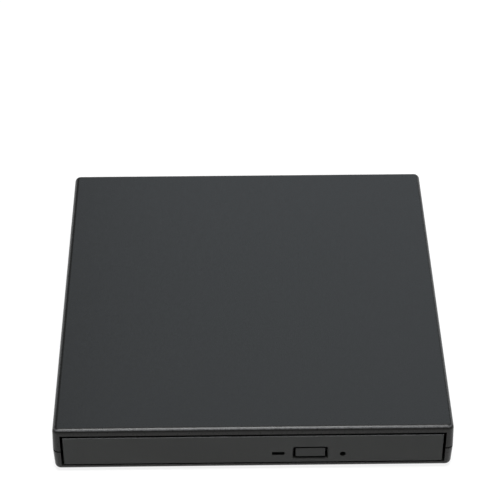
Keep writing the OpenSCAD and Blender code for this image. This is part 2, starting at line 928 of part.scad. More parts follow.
module board_connector() {
    y0 = drive_y + drive_d + seat_gap;
    y1 = drive_y + drive_d + link_tongue_out + link_wall;
    z1 = link_z() + link_tongue_h / 2 + link_gap + link_wall;
    half = link_w / 2;
    color("#2b2d30")
        difference() {
            slab([link_x - half, link_x + half], [bridge_y0, y1], [bridge_top, z1]);
            slab(
                [link_x - half + link_wall - link_gap, link_x + half - link_wall + link_gap],
                [y0 - cut, drive_y + drive_d + link_tongue_out + link_gap],
                [link_z() - link_tongue_h / 2 - link_gap, link_z() + link_tongue_h / 2 + link_gap]
            );
        }
}

// Height of the middle of the drive connector's tongue
function link_z() = drive_z + main_board_z + board_t + link_body_h / 2;

module drive_connector() {
    half = link_w / 2;
    z0 = drive_z + main_board_z + board_t;
    y1 = drive_y + drive_d;
    color("#d8d4c6") {
        slab([link_x - half, link_x + half], [y1 - link_body_d, y1], [z0, z0 + link_body_h]);
        slab(
            [link_x - half + link_wall, link_x + half - link_wall],
            [y1 - seat_gap, y1 + link_tongue_out],
            [link_z() - link_tongue_h / 2, link_z() + link_tongue_h / 2]
        );
    }
}

module drive_base() {
    half = link_w / 2 + 2 * seat_gap;
    link_lo = main_board_z + board_t - seat_gap;
    color("#9a9da0") in_drive()
        difference() {
            union() {
                slab([-half_w, half_w], [0, drive_d], [0, base_t]);
                for (sx = [0, 1])
                    mirror([sx, 0, 0]) slab([half_w - base_t, half_w], [0, drive_d], [0, lid_z]);
                slab([-half_w, half_w], [drive_d - base_t, drive_d], [0, lid_z]);
                at_main_posts() bar_z(main_post_r, [base_t / 2, main_board_z]);
            }
            slab(
                [link_x - half, link_x + half],
                [drive_d - base_t - cut, drive_d + cut],
                [link_lo, link_lo + link_body_h + 3 * seat_gap]
            );
            for (sx = [-1, 1], y = drive_screw_ys)
                translate([sx * drive_screw_x, y, 0]) bar_z(m2_r + seat_gap, [-cut, base_t + cut]);
            translate([latch_x + post_x, latch_y + post_y, 0]) bar_z(post_r, [base_t / 2, base_t + cut]);
        }
}

module at_main_posts() {
    inset = 4;
    xs = [main_board_x[0] + inset, main_board_x[1] - inset];
    ys = [main_board_y0 + inset, main_board_y1 - inset];
    for (x = xs, y = ys) translate([x, y, 0]) children();
}

// Lid with side flanges, pressed with a shallow round panel
module drive_lid() {
    panel_r = disc_d / 2 - lid_panel_in;
    panel_t = 0.25;
    color("#b2b5b8") in_drive()
        difference() {
            union() {
                slab([-half_w, half_w], [0, drive_d], [lid_z, drive_h]);
                for (sx = [0, 1])
                    mirror([sx, 0, 0])
                        slab([half_w, half_w + lid_t], [0, drive_d], [lid_z - lid_flange, drive_h]);
            }
            translate([0, spindle_y, 0]) bar_z(panel_r, [drive_h - panel_t, drive_h + cut]);
        }
}

// Plastic channels that carry the slide rails
module rail_guides() {
    x0 = half_w - base_t - guide_back;
    lip_in = tray_half + 2 * run_gap;
    lo = rail_lo - run_gap;
    hi = rail_hi + run_gap;
    y = [guide_y0, drive_d - base_t - guide_end_gap];
    color("#e4e2da") in_drive()
        for (sx = [0, 1])
            mirror([sx, 0, 0]) {
                slab([x0, half_w - base_t], y, [lo - guide_lip, hi + guide_lip]);
                slab([lip_in, half_w - base_t], y, [lo - guide_lip, lo]);
                slab([lip_in, half_w - base_t], y, [hi, hi + guide_lip]);
            }
}

// Pressed steel channel that opens towards the tray
module slide_rail() {
    y = [rail_y0, rail_y0 + rail_l];
    color("#c3c6c9") {
        slab([rail_out - rail_t, rail_out], y, [rail_lo, rail_hi]);
        slab([rail_in, rail_out], y, [rail_lo, rail_lo + rail_t]);
        slab([rail_in, rail_out], y, [rail_hi - rail_t, rail_hi]);
    }
}
module right_rail() {
    in_drive() slide_rail();
}
module left_rail() {
    in_drive() mirror([1, 0, 0]) slide_rail();
}

module main_board() {
    color("#1e5b35") in_drive()
        slab(main_board_x, [main_board_y0, main_board_y1], [main_board_z, main_board_z + board_t]);
}

// Drive controller, memory, motor driver and the flex cable's socket
module main_board_parts() {
    top = main_board_z + board_t;
    x0 = main_board_x[0];
    y0 = main_board_y0;
    chips = [[x0 + 16, y0 + 13.4, 14, 1.4], [x0 + 36, y0 + 11.4, 9, 1.1], [x0 + 6, y0 + 5.4, 5, 1]];
    flex_mid = (flex_x[0] + flex_x[1]) / 2;
    color("#202224") in_drive() {
        for (c = chips)
            translate([c[0] - c[2] / 2, c[1] - c[2] / 2, top]) cube([c[2], c[2], c[3]]);
        slab(
            [flex_mid - flex_socket_w / 2, flex_mid + flex_socket_w / 2],
            [main_socket_y, main_socket_y + flex_socket_d],
            [top, top + flex_socket_h]
        );
    }
}

// Flat cable: along the floor, round a turn and back under the tray
module flex_cable() {
    enter_z = main_board_z + board_t + flex_socket_h / 2;
    turn_z = (flex_low_z + flex_high_z) / 2;
    turn_r = (flex_high_z - flex_low_z + flex_t) / 2;
    color("#d9d6cf") in_drive()
        translate([flex_x[0], 0, 0])
            rotate([90, 0, 90])
                linear_extrude(flex_x[1] - flex_x[0]) {
                    translate([flex_turn_y, flex_high_z - flex_t / 2])
                        square([tray_socket_y - flex_turn_y, flex_t]);
                    translate([flex_turn_y, flex_low_z - flex_t / 2])
                        square([flex_ramp_y - flex_turn_y, flex_t]);
                    difference() {
                        translate([flex_turn_y, turn_z]) circle(turn_r);
                        translate([flex_turn_y, turn_z]) circle(turn_r - flex_t);
                        translate([flex_turn_y, turn_z - 2 * turn_r]) square(4 * turn_r);
                    }
                    polygon([
                        [flex_ramp_y, flex_low_z - flex_t / 2],
                        [main_socket_y, enter_z - flex_t / 2],
                        [main_socket_y, enter_z + flex_t / 2],
                        [flex_ramp_y, flex_low_z + flex_t / 2]
                    ]);
                }
}

module latch_post() {
    color("#c3c6c9") in_drive()
        translate([latch_x + post_x, latch_y + post_y, 0]) bar_z(post_r, [base_t / 2, post_top]);
}

// Outline of the window in the tray floor over the disc mechanism
module mechanism_window() {
    in_traverse() {
        bar_z(turntable_d / 2 + opening_margin, [0, drive_h]);
        slab(
            [0, cover_x[1] + opening_margin],
            [cover_y[0] - opening_margin, cover_y[1] + opening_margin],
            [0, drive_h]
        );
    }
}

module tray() {
    wall_in = tray_half - tray_wall;
    pilot = [tray_floor_z - cut, tray_floor_z + pilot_depth];
    color("#2e3032")
        difference() {
            in_drive()
                union() {
                    slab([-tray_half, tray_half], [tray_front, tray_rear], [tray_floor_z, rim_z]);
                    for (sx = [0, 1])
                        mirror([sx, 0, 0]) {
                            slab([wall_in, tray_half], [tray_front, tray_rear], [tray_lo, rim_z]);
                            slab(
                                [wall_in, tray_rib_out],
                                [tray_front + tray_front_wall, tray_rear - tray_wall],
                                [tray_rib_lo, tray_rib_hi]
                            );
                        }
                    slab(
                        [-tray_half, tray_half],
                        [tray_front, tray_front + tray_front_wall],
                        [tray_lo, rim_z]
                    );
                    ejector_channel();
                }
            in_drive() {
                translate([0, spindle_y, 0]) bar_z(well_r, [well_z, rim_z + cut]);
                slab(
                    [window_x0, window_x1],
                    [tray_front - cut, tray_front + tray_front_wall + seat_gap],
                    [tray_lo - cut, window_z]
                );
            }
            mechanism_window();
            in_traverse()
                for (p = damper_at)
                    translate([p[0], p[1], 0])
                        bar_z(damper_screw_r + bearing_gap, pilot);
            in_drive()
                translate([latch_x, latch_y, 0])
                    bar_z(latch_pin_r + bearing_gap, pilot);
        }
}

// Walls under the tray floor that guide the ejector rod
module ejector_channel() {
    translate([ejector_x, 0, 0])
        difference() {
            union() {
                for (y = [ejector_wall_y, ejector_stop_y])
                    slab([-ejector_half, ejector_half], y, [ejector_low, tray_floor_z + seat_gap]);
                for (sx = [0, 1])
                    mirror([sx, 0, 0])
                        slab(
                            [ejector_half - seat_gap, ejector_half + ejector_side],
                            [ejector_wall_y[0], ejector_stop_y[1]],
                            [ejector_low, tray_floor_z + seat_gap]
                        );
            }
            translate([0, 0, ejector_z])
                bar_y(ejector_r + bearing_gap, [ejector_wall_y[0] - cut, ejector_stop_y[1] + cut]);
        }
}

module bezel() {
    mid_z = (bezel_lo + bezel_hi) / 2;
    color("#37393b")
        difference() {
            translate([0, 0, mid_z])
                face_plate(bezel_w, bezel_h, bezel_corner_r, [bezel_front, bezel_back]);
            translate([button_x, 0, button_z]) {
                face_plate(
                    button_w + 2 * button_gap, button_h + 2 * button_gap, button_r,
                    [bezel_front - cut, bezel_back + cut]
                );
                face_plate(
                    button_w + 2 * recess_x, button_h + 2 * recess_z, recess_r,
                    [bezel_front - cut, bezel_front + recess_depth]
                );
            }
            translate([led_x, 0, led_z])
                slab(
                    [-led_w / 2, led_w / 2],
                    [bezel_front - cut, bezel_back + cut],
                    [-led_h / 2, led_h / 2]
                );
            translate([pinhole_x, 0, pinhole_z]) bar_y(pinhole_d / 2, [bezel_front - cut, bezel_back + cut]);
        }
}

module eject_button() {
    front = bezel_front + recess_depth - button_proud;
    flange_y = bezel_back + seat_gap;
    cap_end = bezel_back - button_travel - seat_gap;
    neck = button_h / 2 - button_r;
    stem_end = drive_y + switch_nib_y() - button_travel - bearing_gap;
    stem = [2.4, 2.2];
    color("#3b3d3f")
        translate([button_x, 0, button_z]) {
            face_plate(button_w, button_h, button_r, [front, cap_end]);
            slab(
                [-button_w / 2 + button_r, button_w / 2 - button_r],
                [cap_end - seat_gap, flange_y + seat_gap],
                [-neck, neck]
            );
            slab(
                [-button_w / 2 - button_flange, button_w / 2 + button_flange],
                [flange_y, flange_y + button_flange_t],
                [-neck, neck]
            );
            slab([-stem[0] / 2, stem[0] / 2], [flange_y, stem_end], [-stem[1] / 2, stem[1] / 2]);
        }
}

// Front of the eject switch's nib, in the drive's frame
function switch_nib_y() = tray_board_y0 + 0.9;

module eject_switch() {
    body = [6, 3.4];
    nib_r = 0.9;
    nib_l = 0.7;
    y0 = drive_y + switch_nib_y();
    z1 = drive_z + tray_board_z;
    color("#26282a")
        translate([button_x, 0, 0]) {
            slab(
                [-body[0] / 2, body[0] / 2],
                [y0 + nib_l, y0 + nib_l + body[1]],
                [button_z - body[1] / 2, z1]
            );
            translate([0, 0, button_z]) bar_y(nib_r, [y0, y0 + nib_l + seat_gap]);
        }
}

module led_window() {
    y1 = drive_y + tray_board_y0;
    front_sink = 1.4;
    color("#17181a")
        translate([led_x, 0, led_z])
            slab(
                [seat_gap - led_w / 2, led_w / 2 - seat_gap],
                [bezel_front + front_sink, y1],
                [seat_gap - led_h / 2, led_h / 2 - seat_gap]
            );
}

module tray_board() {
    z = [tray_board_z, tray_floor_z];
    color("#1e5b35") in_drive()
        difference() {
            union() {
                slab(tray_board_x, [tray_board_y0, tray_board_y1], z);
                slab([tray_strip_x, tray_board_x[1]], [tray_board_y0, tray_strip_y1], z);
            }
            translate([latch_x, latch_y, 0]) bar_z(latch_head_r, [z[0] - cut, z[1] + cut]);
        }
}

// Lamp behind its window, and the flex cable's socket
module tray_board_parts() {
    lamp = [3, 1.6];
    lamp_lo = led_z - drive_z - lamp[1] / 2;
    flex_mid = (flex_x[0] + flex_x[1]) / 2;
    color("#e8e6de") in_drive() {
        translate([led_x, tray_board_y0 + seat_gap, 0])
            slab([-lamp[0] / 2, lamp[0] / 2], [0, lamp[1]], [lamp_lo, tray_board_z]);
        slab(
            [flex_mid - flex_socket_w / 2, flex_mid + flex_socket_w / 2],
            [tray_socket_y, tray_socket_y + flex_socket_d],
            [tray_board_z - flex_socket_h, tray_board_z]
        );
    }
}

module traverse_frame() {
    motor_window = 0.6;
    color("#a7aaad") in_traverse()
        difference() {
            union() {
                translate([0, 0, frame_lo]) linear_extrude(frame_t) polygon(frame_outline);
                slab([rod_seat_x[0][0], reach], [sub_rod_y, main_rod_y], under_z);
                for (x = rod_seat_x, y = [main_rod_y, sub_rod_y])
                    slab(x, [y - rod_seat_half, y + rod_seat_half], [under_z[0], frame_lo + seat_gap]);
                slab(
                    screw_seat_x,
                    [screw_y - rod_seat_half, screw_y + rod_seat_half],
                    [rod_seat_lo, frame_lo + seat_gap]
                );
                at_motor_posts() bar_z(motor_post_r, [motor_base_z + motor_base_t, frame_lo + seat_gap]);
            }
            bar_z(cup_r + opening_margin, [motor_base_z, drive_h]);
            slab([slot_x0, slot_x1], [slot_y0, slot_y1], [frame_lo - cut, frame_top + cut]);
            slab(
                [feed_motor_x[0] - motor_window, feed_motor_x[1] + motor_window],
                [screw_y - feed_motor_r - motor_window, screw_y + feed_motor_r + motor_window],
                [frame_lo - cut, frame_top + cut]
            );
            for (p = damper_at)
                translate([p[0], p[1], 0]) bar_z(damper_hole_r, [frame_lo - cut, frame_top + cut]);
            translate([0, main_rod_y, rod_z]) bar_x(main_rod_d / 2 + rod_hold_gap, [rod_x0, rod_x1]);
            translate([0, sub_rod_y, rod_z]) bar_x(sub_rod_d / 2 + rod_hold_gap, [rod_x0, rod_x1]);
            translate([0, screw_y, rod_z])
                bar_x(screw_shaft_r + bearing_gap, [screw_seat_x[0] - cut, screw_end + seat_gap]);
            at_motor_posts()
                bar_z(motor_screw_r + bearing_gap, [motor_base_z, frame_lo - seat_gap]);
        }
}

module at_motor_posts() {
    for (a = motor_post_at) rotate([0, 0, a]) translate([motor_post_ring, 0, 0]) children();
}

module traverse_cover() {
    z = [frame_top + cover_gap, frame_top + cover_gap + cover_t];
    nose = 4;
    color("#232527") in_traverse()
        difference() {
            translate([0, 0, z[0]])
                linear_extrude(cover_t)
                    polygon([
                        [cover_x[0], cover_y[0]], [cover_x[1] - nose, cover_y[0]],
                        [cover_x[1], cover_y[0] + nose], [cover_x[1], cover_y[1] - nose],
                        [cover_x[1] - nose, cover_y[1]], [cover_x[0], cover_y[1]]
                    ]);
            bar_z(cup_r + opening_margin, [z[0] - cut, z[1] + cut]);
            slab(cover_slot_x, [-cover_slot_half, cover_slot_half], [z[0] - cut, z[1] + cut]);
        }
}

// Rubber spools that hang the mechanism under the tray
module damper_bushes() {
    lower = [frame_lo - bearing_gap - damper_lower_t, frame_lo - bearing_gap];
    upper = [frame_top + bearing_gap, tray_floor_z];
    color("#19191a") in_traverse()
        for (p = damper_at)
            translate([p[0], p[1], 0])
                difference() {
                    union() {
                        bar_z(damper_flange_r, lower);
                        bar_z(damper_hole_r - bearing_gap, [lower[0], upper[1]]);
                        bar_z(damper_flange_r, upper);
                    }
                    bar_z(damper_screw_r + bearing_gap, [lower[0] - cut, upper[1] + cut]);
                }
}

// Screws of the dampers and of the spindle motor
module traverse_screws() {
    bush_lo = frame_lo - bearing_gap - damper_lower_t;
    color("#8c8f92") in_traverse() {
        for (p = damper_at)
            translate([p[0], p[1], bush_lo - damper_head_h])
                screw_up(
                    damper_screw_r, damper_flange_r - seat_gap, damper_head_h,
                    tray_floor_z + pilot_depth - seat_gap - bush_lo + damper_head_h, damper_screw_r
                );
        at_motor_posts()
            translate([0, 0, motor_base_z - motor_screw_head_h])
                screw_up(
                    motor_screw_r, motor_screw_head_r, motor_screw_head_h,
                    frame_lo - 2 * seat_gap - motor_base_z + motor_screw_head_h, motor_screw_r
                );
    }
}

module spindle_base() {
    ear = motor_post_r + 0.4;
    color("#b2b5b8") in_traverse()
        translate([0, 0, motor_base_z])
            linear_extrude(motor_base_t)
                difference() {
                    union() {
                        circle(motor_base_r);
                        at_motor_posts() {
                            circle(ear);
                            translate([-motor_post_ring / 2, 0])
                                square([motor_post_ring, 2 * motor_post_r], center = true);
                        }
                    }
                    at_motor_posts() circle(motor_screw_r + seat_gap);
                }
}

module bearing_sleeve() {
    z0 = motor_base_z + motor_base_t;
    color("#b08d57") in_traverse()
        difference() {
            bar_z(sleeve_r, [z0, sleeve_top]);
            bar_z(shaft_d / 2 + bearing_gap, [z0 - cut, sleeve_top + cut]);
        }
}

// Star of poles pressed over the bearing sleeve
module stator_core() {
    shoe = 1.2;
    shoe_w = 4.8;
    color("#7d8083") in_traverse()
        translate([0, 0, stator_lo])
            linear_extrude(stator_t)
                difference() {
                    union() {
                        circle(stator_hub_r);
                        for (k = [0 : stator_poles - 1])
                            rotate([0, 0, k * 360 / stator_poles]) {
                                translate([0, -stator_arm / 2]) square([stator_r, stator_arm]);
                                translate([stator_r - shoe, -shoe_w / 2]) square([shoe, shoe_w]);
                            }
                    }
                    circle(sleeve_r + bearing_gap);
                }
}

// One winding round each pole
module stator_coils() {
    half_y = stator_arm / 2 + bearing_gap;
    z = [stator_lo - bearing_gap, stator_lo + stator_t + bearing_gap];
    color("#a4582a") in_traverse()
        for (k = [0 : stator_poles - 1])
            rotate([0, 0, k * 360 / stator_poles])
                difference() {
                    slab(
                        coil_x,
                        [-half_y - coil_wall, half_y + coil_wall],
                        [z[0] - coil_wall, z[1] + coil_wall]
                    );
                    slab([coil_x[0] - cut, coil_x[1] + cut], [-half_y, half_y], z);
                }
}

module main_guide_rod() {
    color("#d2d4d6")
        in_traverse() translate([0, main_rod_y, rod_z]) bar_x(main_rod_d / 2, [rod_x0, rod_x1]);
}

module sub_guide_rod() {
    color("#d2d4d6")
        in_traverse() translate([0, sub_rod_y, rod_z]) bar_x(sub_rod_d / 2, [rod_x0, rod_x1]);
}

module feed_motor() {
    flange_half = 3.4;
    color("#8f9295") in_traverse()
        translate([0, screw_y, 0])
            difference() {
                union() {
                    translate([0, 0, rod_z]) bar_x(feed_motor_r, feed_motor_x);
                    slab(
                        [feed_motor_x[1] - seat_gap, feed_motor_x[1] + feed_motor_flange],
                        [-flange_half, flange_half],
                        [rod_z - feed_motor_r, frame_lo]
                    );
                }
                translate([0, 0, rod_z])
                    bar_x(
                        screw_shaft_r + bearing_gap,
                        [feed_motor_x[1] - feed_motor_bore, feed_motor_x[1] + feed_motor_flange + cut]
                    );
            }
}

// Points of one ring of the feed screw's wave, which winds round the X axis
function wave_point(step, side) =
    let (a = screw_phase - 360 * step / screw_rings)
    let (b = 360 * side / screw_sides)
    let (x = screw_thread_x[0] + screw_pitch * step / screw_rings)
    [x, screw_wave * cos(a) + screw_r * cos(b), screw_wave * sin(a) + screw_r * sin(b)];

// Feed screw: a shaft with one coarse wave wound along it
module lead_screw() {
    inner_end = feed_motor_x[1] - feed_motor_bore + seat_gap;
    rings = floor((screw_thread_x[1] - screw_thread_x[0]) / screw_pitch * screw_rings);
    thread_end = screw_thread_x[0] + rings * screw_pitch / screw_rings;
    points = [for (i = [0 : rings], s = [0 : screw_sides - 1]) wave_point(i, s)];
    color("#c9c6bc") in_traverse()
        translate([0, screw_y, rod_z]) {
            bar_x(screw_shaft_r, [inner_end, screw_thread_x[0] + seat_gap]);
            bar_x(screw_shaft_r, [thread_end - seat_gap, screw_end]);
            polyhedron(points, sweep_faces(rings, screw_sides), convexity = 20);
        }
}

// Spring nut on the pickup that rides in the feed screw's groove
module feed_nut() {
    face = screw_y - screw_r - screw_wave - nut_gap;
    tip = face + nut_gap + nut_bite;
    color("#e4e2da") in_traverse() {
        slab(
            [nut_x - nut_l / 2, nut_x + nut_l / 2],
            [bush_y1, face],
            [rod_z - nut_h / 2, rod_z + nut_h / 2]
        );
        slab(
            [nut_x - nut_tooth_w / 2, nut_x + nut_tooth_w / 2],
            [face - seat_gap, tip],
            [rod_z - nut_tooth_h / 2, rod_z + nut_tooth_h / 2]
        );
    }
}

module pickup_sled() {
    fork_half = sub_rod_d / 2 + bearing_gap;
    spindle_clear = motor_base_r + 1;
    color("#8a8d90") in_traverse()
        difference() {
            union() {
                slab([sled_x0, sled_x1], [sled_y0, sled_y1], [sled_lo, sled_top]);
                slab([sled_x0, sled_x1], [sled_y1 - seat_gap, bush_y1], [sled_lo, sled_mid]);
                slab([sled_x0 + 4, sled_x1 - 4], [fork_y0, sled_y0 + seat_gap], [fork_lo, sled_mid]);
            }
            translate([0, main_rod_y, rod_z])
                bar_x(main_rod_d / 2 + bearing_gap, [sled_x0 - cut, sled_x1 + cut]);
            slab(
                [sled_x0 - cut, sled_x1 + cut],
                [fork_y0 - cut, sub_rod_y + fork_half],
                [rod_z - fork_half, rod_z + fork_half]
            );
            bar_z(spindle_clear, [0, drive_h]);
            translate([lens_r, 0, 0])
                slab(
                    [-lens_half_x - lens_gap, lens_half_x + lens_gap],
                    [-lens_half_y - lens_gap, lens_half_y + lens_gap],
                    [sled_mid, sled_top + cut]
                );
            translate([sled_x1 - diode_l, sled_y0 / 2, rod_z]) bar_x(diode_r, [0, diode_l + cut]);
        }
}

// Magnet yoke round the lens holder
module actuator_yoke() {
    color("#3c3e41") in_traverse()
        translate([lens_r, 0, 0])
            difference() {
                slab([-yoke_half_x, yoke_half_x], [-yoke_half_y, yoke_half_y], [sled_top, yoke_z]);
                slab(
                    [-lens_half_x - lens_gap, lens_half_x + lens_gap],
                    [-yoke_half_y + yoke_wall, yoke_half_y - yoke_wall],
                    [sled_top - cut, yoke_z + cut]
                );
            }
}

module laser_diode() {
    color("#caa24a") in_traverse()
        translate([0, sled_y0 / 2, rod_z]) bar_x(diode_r - bearing_gap, [sled_x1 - diode_l, sled_x1]);
}

module lens_holder() {
    color("#1b1c1e") in_traverse()
        translate([lens_r, 0, 0])
            difference() {
                slab([-lens_half_x, lens_half_x], [-lens_half_y, lens_half_y], [holder_lo, holder_hi]);
                bar_z(lens_dome_r + bearing_gap, [holder_hi - 0.5, holder_hi + cut]);
                bar_z(lens_dome_r - 0.6, [holder_lo - cut, holder_hi + cut]);
            }
}

// Round lens with a bulging top
module objective_lens() {
    sphere_r = (lens_dome_r * lens_dome_r + lens_rise * lens_rise) / (2 * lens_rise);
    z0 = holder_hi - 0.5;
    color("#7fa6c9") in_traverse()
        translate([lens_r, 0, 0])
            union() {
                bar_z(lens_dome_r, [z0, holder_hi]);
                intersection() {
                    translate([0, 0, holder_hi + lens_rise - sphere_r]) sphere(sphere_r);
                    bar_z(lens_dome_r, [holder_hi - seat_gap, holder_hi + lens_rise]);
                }
            }
}

module rotor_cup() {
    color("#b9bcbf") in_traverse()
        difference() {
            bar_z(cup_r, [cup_lo, cup_top]);
            bar_z(cup_r - cup_wall, [cup_lo - cut, cup_top - cup_roof]);
            bar_z(shaft_d / 2, [cup_lo, cup_top + cut]);
        }
}

module rotor_magnet() {
    z = [cup_lo, cup_top - cup_roof];
    color("#2b2d30") in_traverse()
        difference() {
            bar_z(cup_r - cup_wall, z);
            bar_z(cup_r - cup_wall - magnet_t, [z[0] - cut, z[1] + cut]);
        }
}

module spindle_shaft() {
    color("#d2d4d6") in_traverse() bar_z(shaft_d / 2, [shaft_lo, turntable_top + hub_wall_h]);
}

// Turntable with the hub that the disc snaps over
module turntable() {
    hub_r = hub_d / 2;
    color("#2a2c2e") in_traverse()
        difference() {
            union() {
                bar_z(seat_r, [cup_top, turntable_z + seat_gap]);
                bar_z(turntable_d / 2, [turntable_z, turntable_top]);
                bar_z(hub_r, [turntable_top - seat_gap, turntable_top + hub_wall_h]);
                translate([0, 0, turntable_top + hub_wall_h])
                    cylinder(r1 = hub_r, r2 = hub_r - hub_cone, h = hub_h - hub_wall_h);
            }
            bar_z(shaft_d / 2, [cup_top - cut, turntable_top + hub_wall_h]);
            at_claws()
                slab(
                    [claw_in_r - claw_slot, hub_r + cut],
                    [-claw_w / 2 - claw_slot, claw_w / 2 + claw_slot],
                    [turntable_top + claw_lo, turntable_top + claw_lo + claw_h + claw_slot]
                );
        }
}

module at_claws() {
    for (k = [0 : 2]) rotate([0, 0, 75 + 120 * k]) children();
}

module chuck_claws() {
    hub_r = hub_d / 2;
    z0 = turntable_top + claw_lo;
    color("#e4e2da") in_traverse()
        at_claws()
            intersection() {
                slab([claw_in_r, hub_r + cut], [-claw_w / 2, claw_w / 2], [z0, z0 + claw_h]);
                union() {
                    bar_z(hub_r - claw_back, [z0, z0 + claw_h]);
                    translate([0, 0, z0 + claw_h / 2])
                        cylinder(r1 = hub_r + claw_proud, r2 = hub_r - claw_proud, h = claw_h / 2);
                }
            }
}

module turntable_mat() {
    color("#161617") in_traverse()
        difference() {
            bar_z(turntable_d / 2 - mat_edge, [turntable_top, turntable_top + mat_t]);
            bar_z(mat_in_r, [turntable_top - cut, turntable_top + mat_t + cut]);
        }
}

// Hook that holds the tray shut, drawn locked and turned to its free place
module latch_lever() {
    arm_x = [latch_arm_x, latch_arm_x + latch_arm];
    z = [latch_z, latch_z + latch_t];
    color("#c3c6c9") in_drive()
        translate([latch_x, latch_y, 0])
            rotate([0, 0, -latch_swing])
                difference() {
                    union() {
                        bar_z(latch_boss_r, z);
                        slab([0, arm_x[1]], [-latch_arm / 2, latch_arm / 2], z);
                        slab(arm_x, [-latch_arm / 2, latch_jaw_y + latch_jaw_t], z);
                        slab(
                            [arm_x[1] - latch_jaw_l, arm_x[1]],
                            [latch_jaw_y, latch_jaw_y + latch_jaw_t],
                            z
                        );
                        slab([-latch_tail, 0], [-latch_tail_t / 2, latch_tail_t / 2], z);
                    }
                    bar_z(latch_pin_r + bearing_gap, [z[0] - cut, z[1] + cut]);
                }
}

module latch_pin() {
    head = [latch_z - seat_gap - latch_head_t, latch_z - seat_gap];
    color("#d2d4d6") in_drive()
        translate([latch_x, latch_y, 0]) {
            bar_z(latch_pin_r, [head[0], tray_floor_z + pilot_depth - seat_gap]);
            bar_z(latch_head_r, head);
            bar_z(latch_head_r - seat_gap, [latch_z + latch_t + seat_gap, tray_floor_z]);
        }
}

// U-shaped iron frame with a core, open towards the latch
module solenoid_frame() {
    x = solenoid_x;
    y = solenoid_y;
    z = solenoid_z;
    mid_y = (y[0] + y[1]) / 2;
    mid_z = (z[0] + z[1]) / 2;
    color("#9a9da0") in_drive() {
        difference() {
            slab(x, y, z);
            slab(
                [x[0] + solenoid_skin, x[1] - solenoid_skin],
                [y[0] + solenoid_skin, y[1] + cut],
                [z[0] - cut, z[1] + cut]
            );
        }
        translate([0, mid_y, mid_z]) bar_x(core_r, [x[0] + solenoid_skin / 2, x[1] - solenoid_skin / 2]);
    }
}

module solenoid_coil() {
    x = [solenoid_x[0] + solenoid_skin, solenoid_x[1] - solenoid_skin];
    mid_y = (solenoid_y[0] + solenoid_y[1]) / 2;
    mid_z = (solenoid_z[0] + solenoid_z[1]) / 2;
    color("#a4582a") in_drive()
        translate([0, mid_y, mid_z])
            difference() {
                bar_x(coil_r, x);
                bar_x(core_r + bearing_gap, [x[0] - cut, x[1] + cut]);
            }
}

// Rod that pushes the freed tray off the rear wall
module ejector_rod() {
    color("#e4e2da") in_drive()
        translate([ejector_x, 0, ejector_z]) {
            bar_y(ejector_r, [ejector_y0, ejector_y1]);
            bar_y(ejector_flange_r, [ejector_flange_y, ejector_flange_y + ejector_flange_t]);
        }
}

// Points of one ring of a coil spring, wound round the Y axis
function spring_point(step, side, y0, pitch) =
    let (a = 360 * step / spring_rings)
    let (b = 360 * side / spring_sides)
    let (r = spring_r + spring_wire_r * cos(b))
    [r * cos(a), y0 + pitch * step / spring_rings + spring_wire_r * sin(b), r * sin(a)];

// Compression spring between the channel's wall and the rod's flange
module ejector_spring() {
    y0 = ejector_wall_y[1] + seat_gap + spring_wire_r;
    y1 = ejector_flange_y - seat_gap - spring_wire_r;
    pitch = (y1 - y0) / spring_turns;
    rings = spring_turns * spring_rings;
    points = [for (i = [0 : rings], s = [0 : spring_sides - 1]) spring_point(i, s, y0, pitch)];
    echo(spring_gap = pitch - 2 * spring_wire_r);
    color("#c9c6bc") in_drive()
        translate([ejector_x, 0, ejector_z])
            polyhedron(points, sweep_faces(rings, spring_sides), convexity = 20);
}

top_cover();
bottom_cover();
rubber_feet();
case_screws();
drive_screws();
bridge_board();
bridge_board_parts();
usb_shell();
usb_insert();
usb_contacts();
dc_jack();
dc_pin();
board_connector();
drive_base();
drive_lid();
rail_guides();
main_board();
main_board_parts();
drive_connector();
flex_cable();
latch_post();
left_rail();
right_rail();
tray();
bezel();
led_window();
tray_board();
tray_board_parts();
eject_switch();
traverse_frame();
traverse_cover();
damper_bushes();
traverse_screws();
spindle_base();
bearing_sleeve();
stator_core();
stator_coils();
main_guide_rod();
sub_guide_rod();
feed_motor();
solenoid_frame();
solenoid_coil();
latch_pin();
ejector_spring();
eject_button();
rotor_cup();
rotor_magnet();
spindle_shaft();
turntable();
turntable_mat();
chuck_claws();
pickup_sled();
feed_nut();
actuator_yoke();
laser_diode();
lens_holder();
objective_lens();
lead_screw();
latch_lever();
ejector_rod();
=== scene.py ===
import math

import bpy
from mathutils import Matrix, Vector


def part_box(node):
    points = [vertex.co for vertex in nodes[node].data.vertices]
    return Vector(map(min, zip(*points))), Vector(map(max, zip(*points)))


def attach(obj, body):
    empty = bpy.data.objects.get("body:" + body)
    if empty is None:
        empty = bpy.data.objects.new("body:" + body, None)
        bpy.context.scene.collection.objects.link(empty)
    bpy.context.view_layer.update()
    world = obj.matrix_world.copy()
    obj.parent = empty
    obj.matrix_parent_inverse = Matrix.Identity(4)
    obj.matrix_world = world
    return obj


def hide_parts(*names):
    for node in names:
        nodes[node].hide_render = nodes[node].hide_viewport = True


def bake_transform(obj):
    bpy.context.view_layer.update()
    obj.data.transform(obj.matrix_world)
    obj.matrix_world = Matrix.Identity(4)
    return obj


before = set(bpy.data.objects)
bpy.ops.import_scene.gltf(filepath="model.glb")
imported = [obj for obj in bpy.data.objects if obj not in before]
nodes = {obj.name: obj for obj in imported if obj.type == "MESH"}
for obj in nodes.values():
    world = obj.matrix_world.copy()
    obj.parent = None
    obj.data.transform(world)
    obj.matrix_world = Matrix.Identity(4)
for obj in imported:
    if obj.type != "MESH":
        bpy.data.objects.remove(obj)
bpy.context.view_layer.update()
mm = 0.001
print("frame loaded")


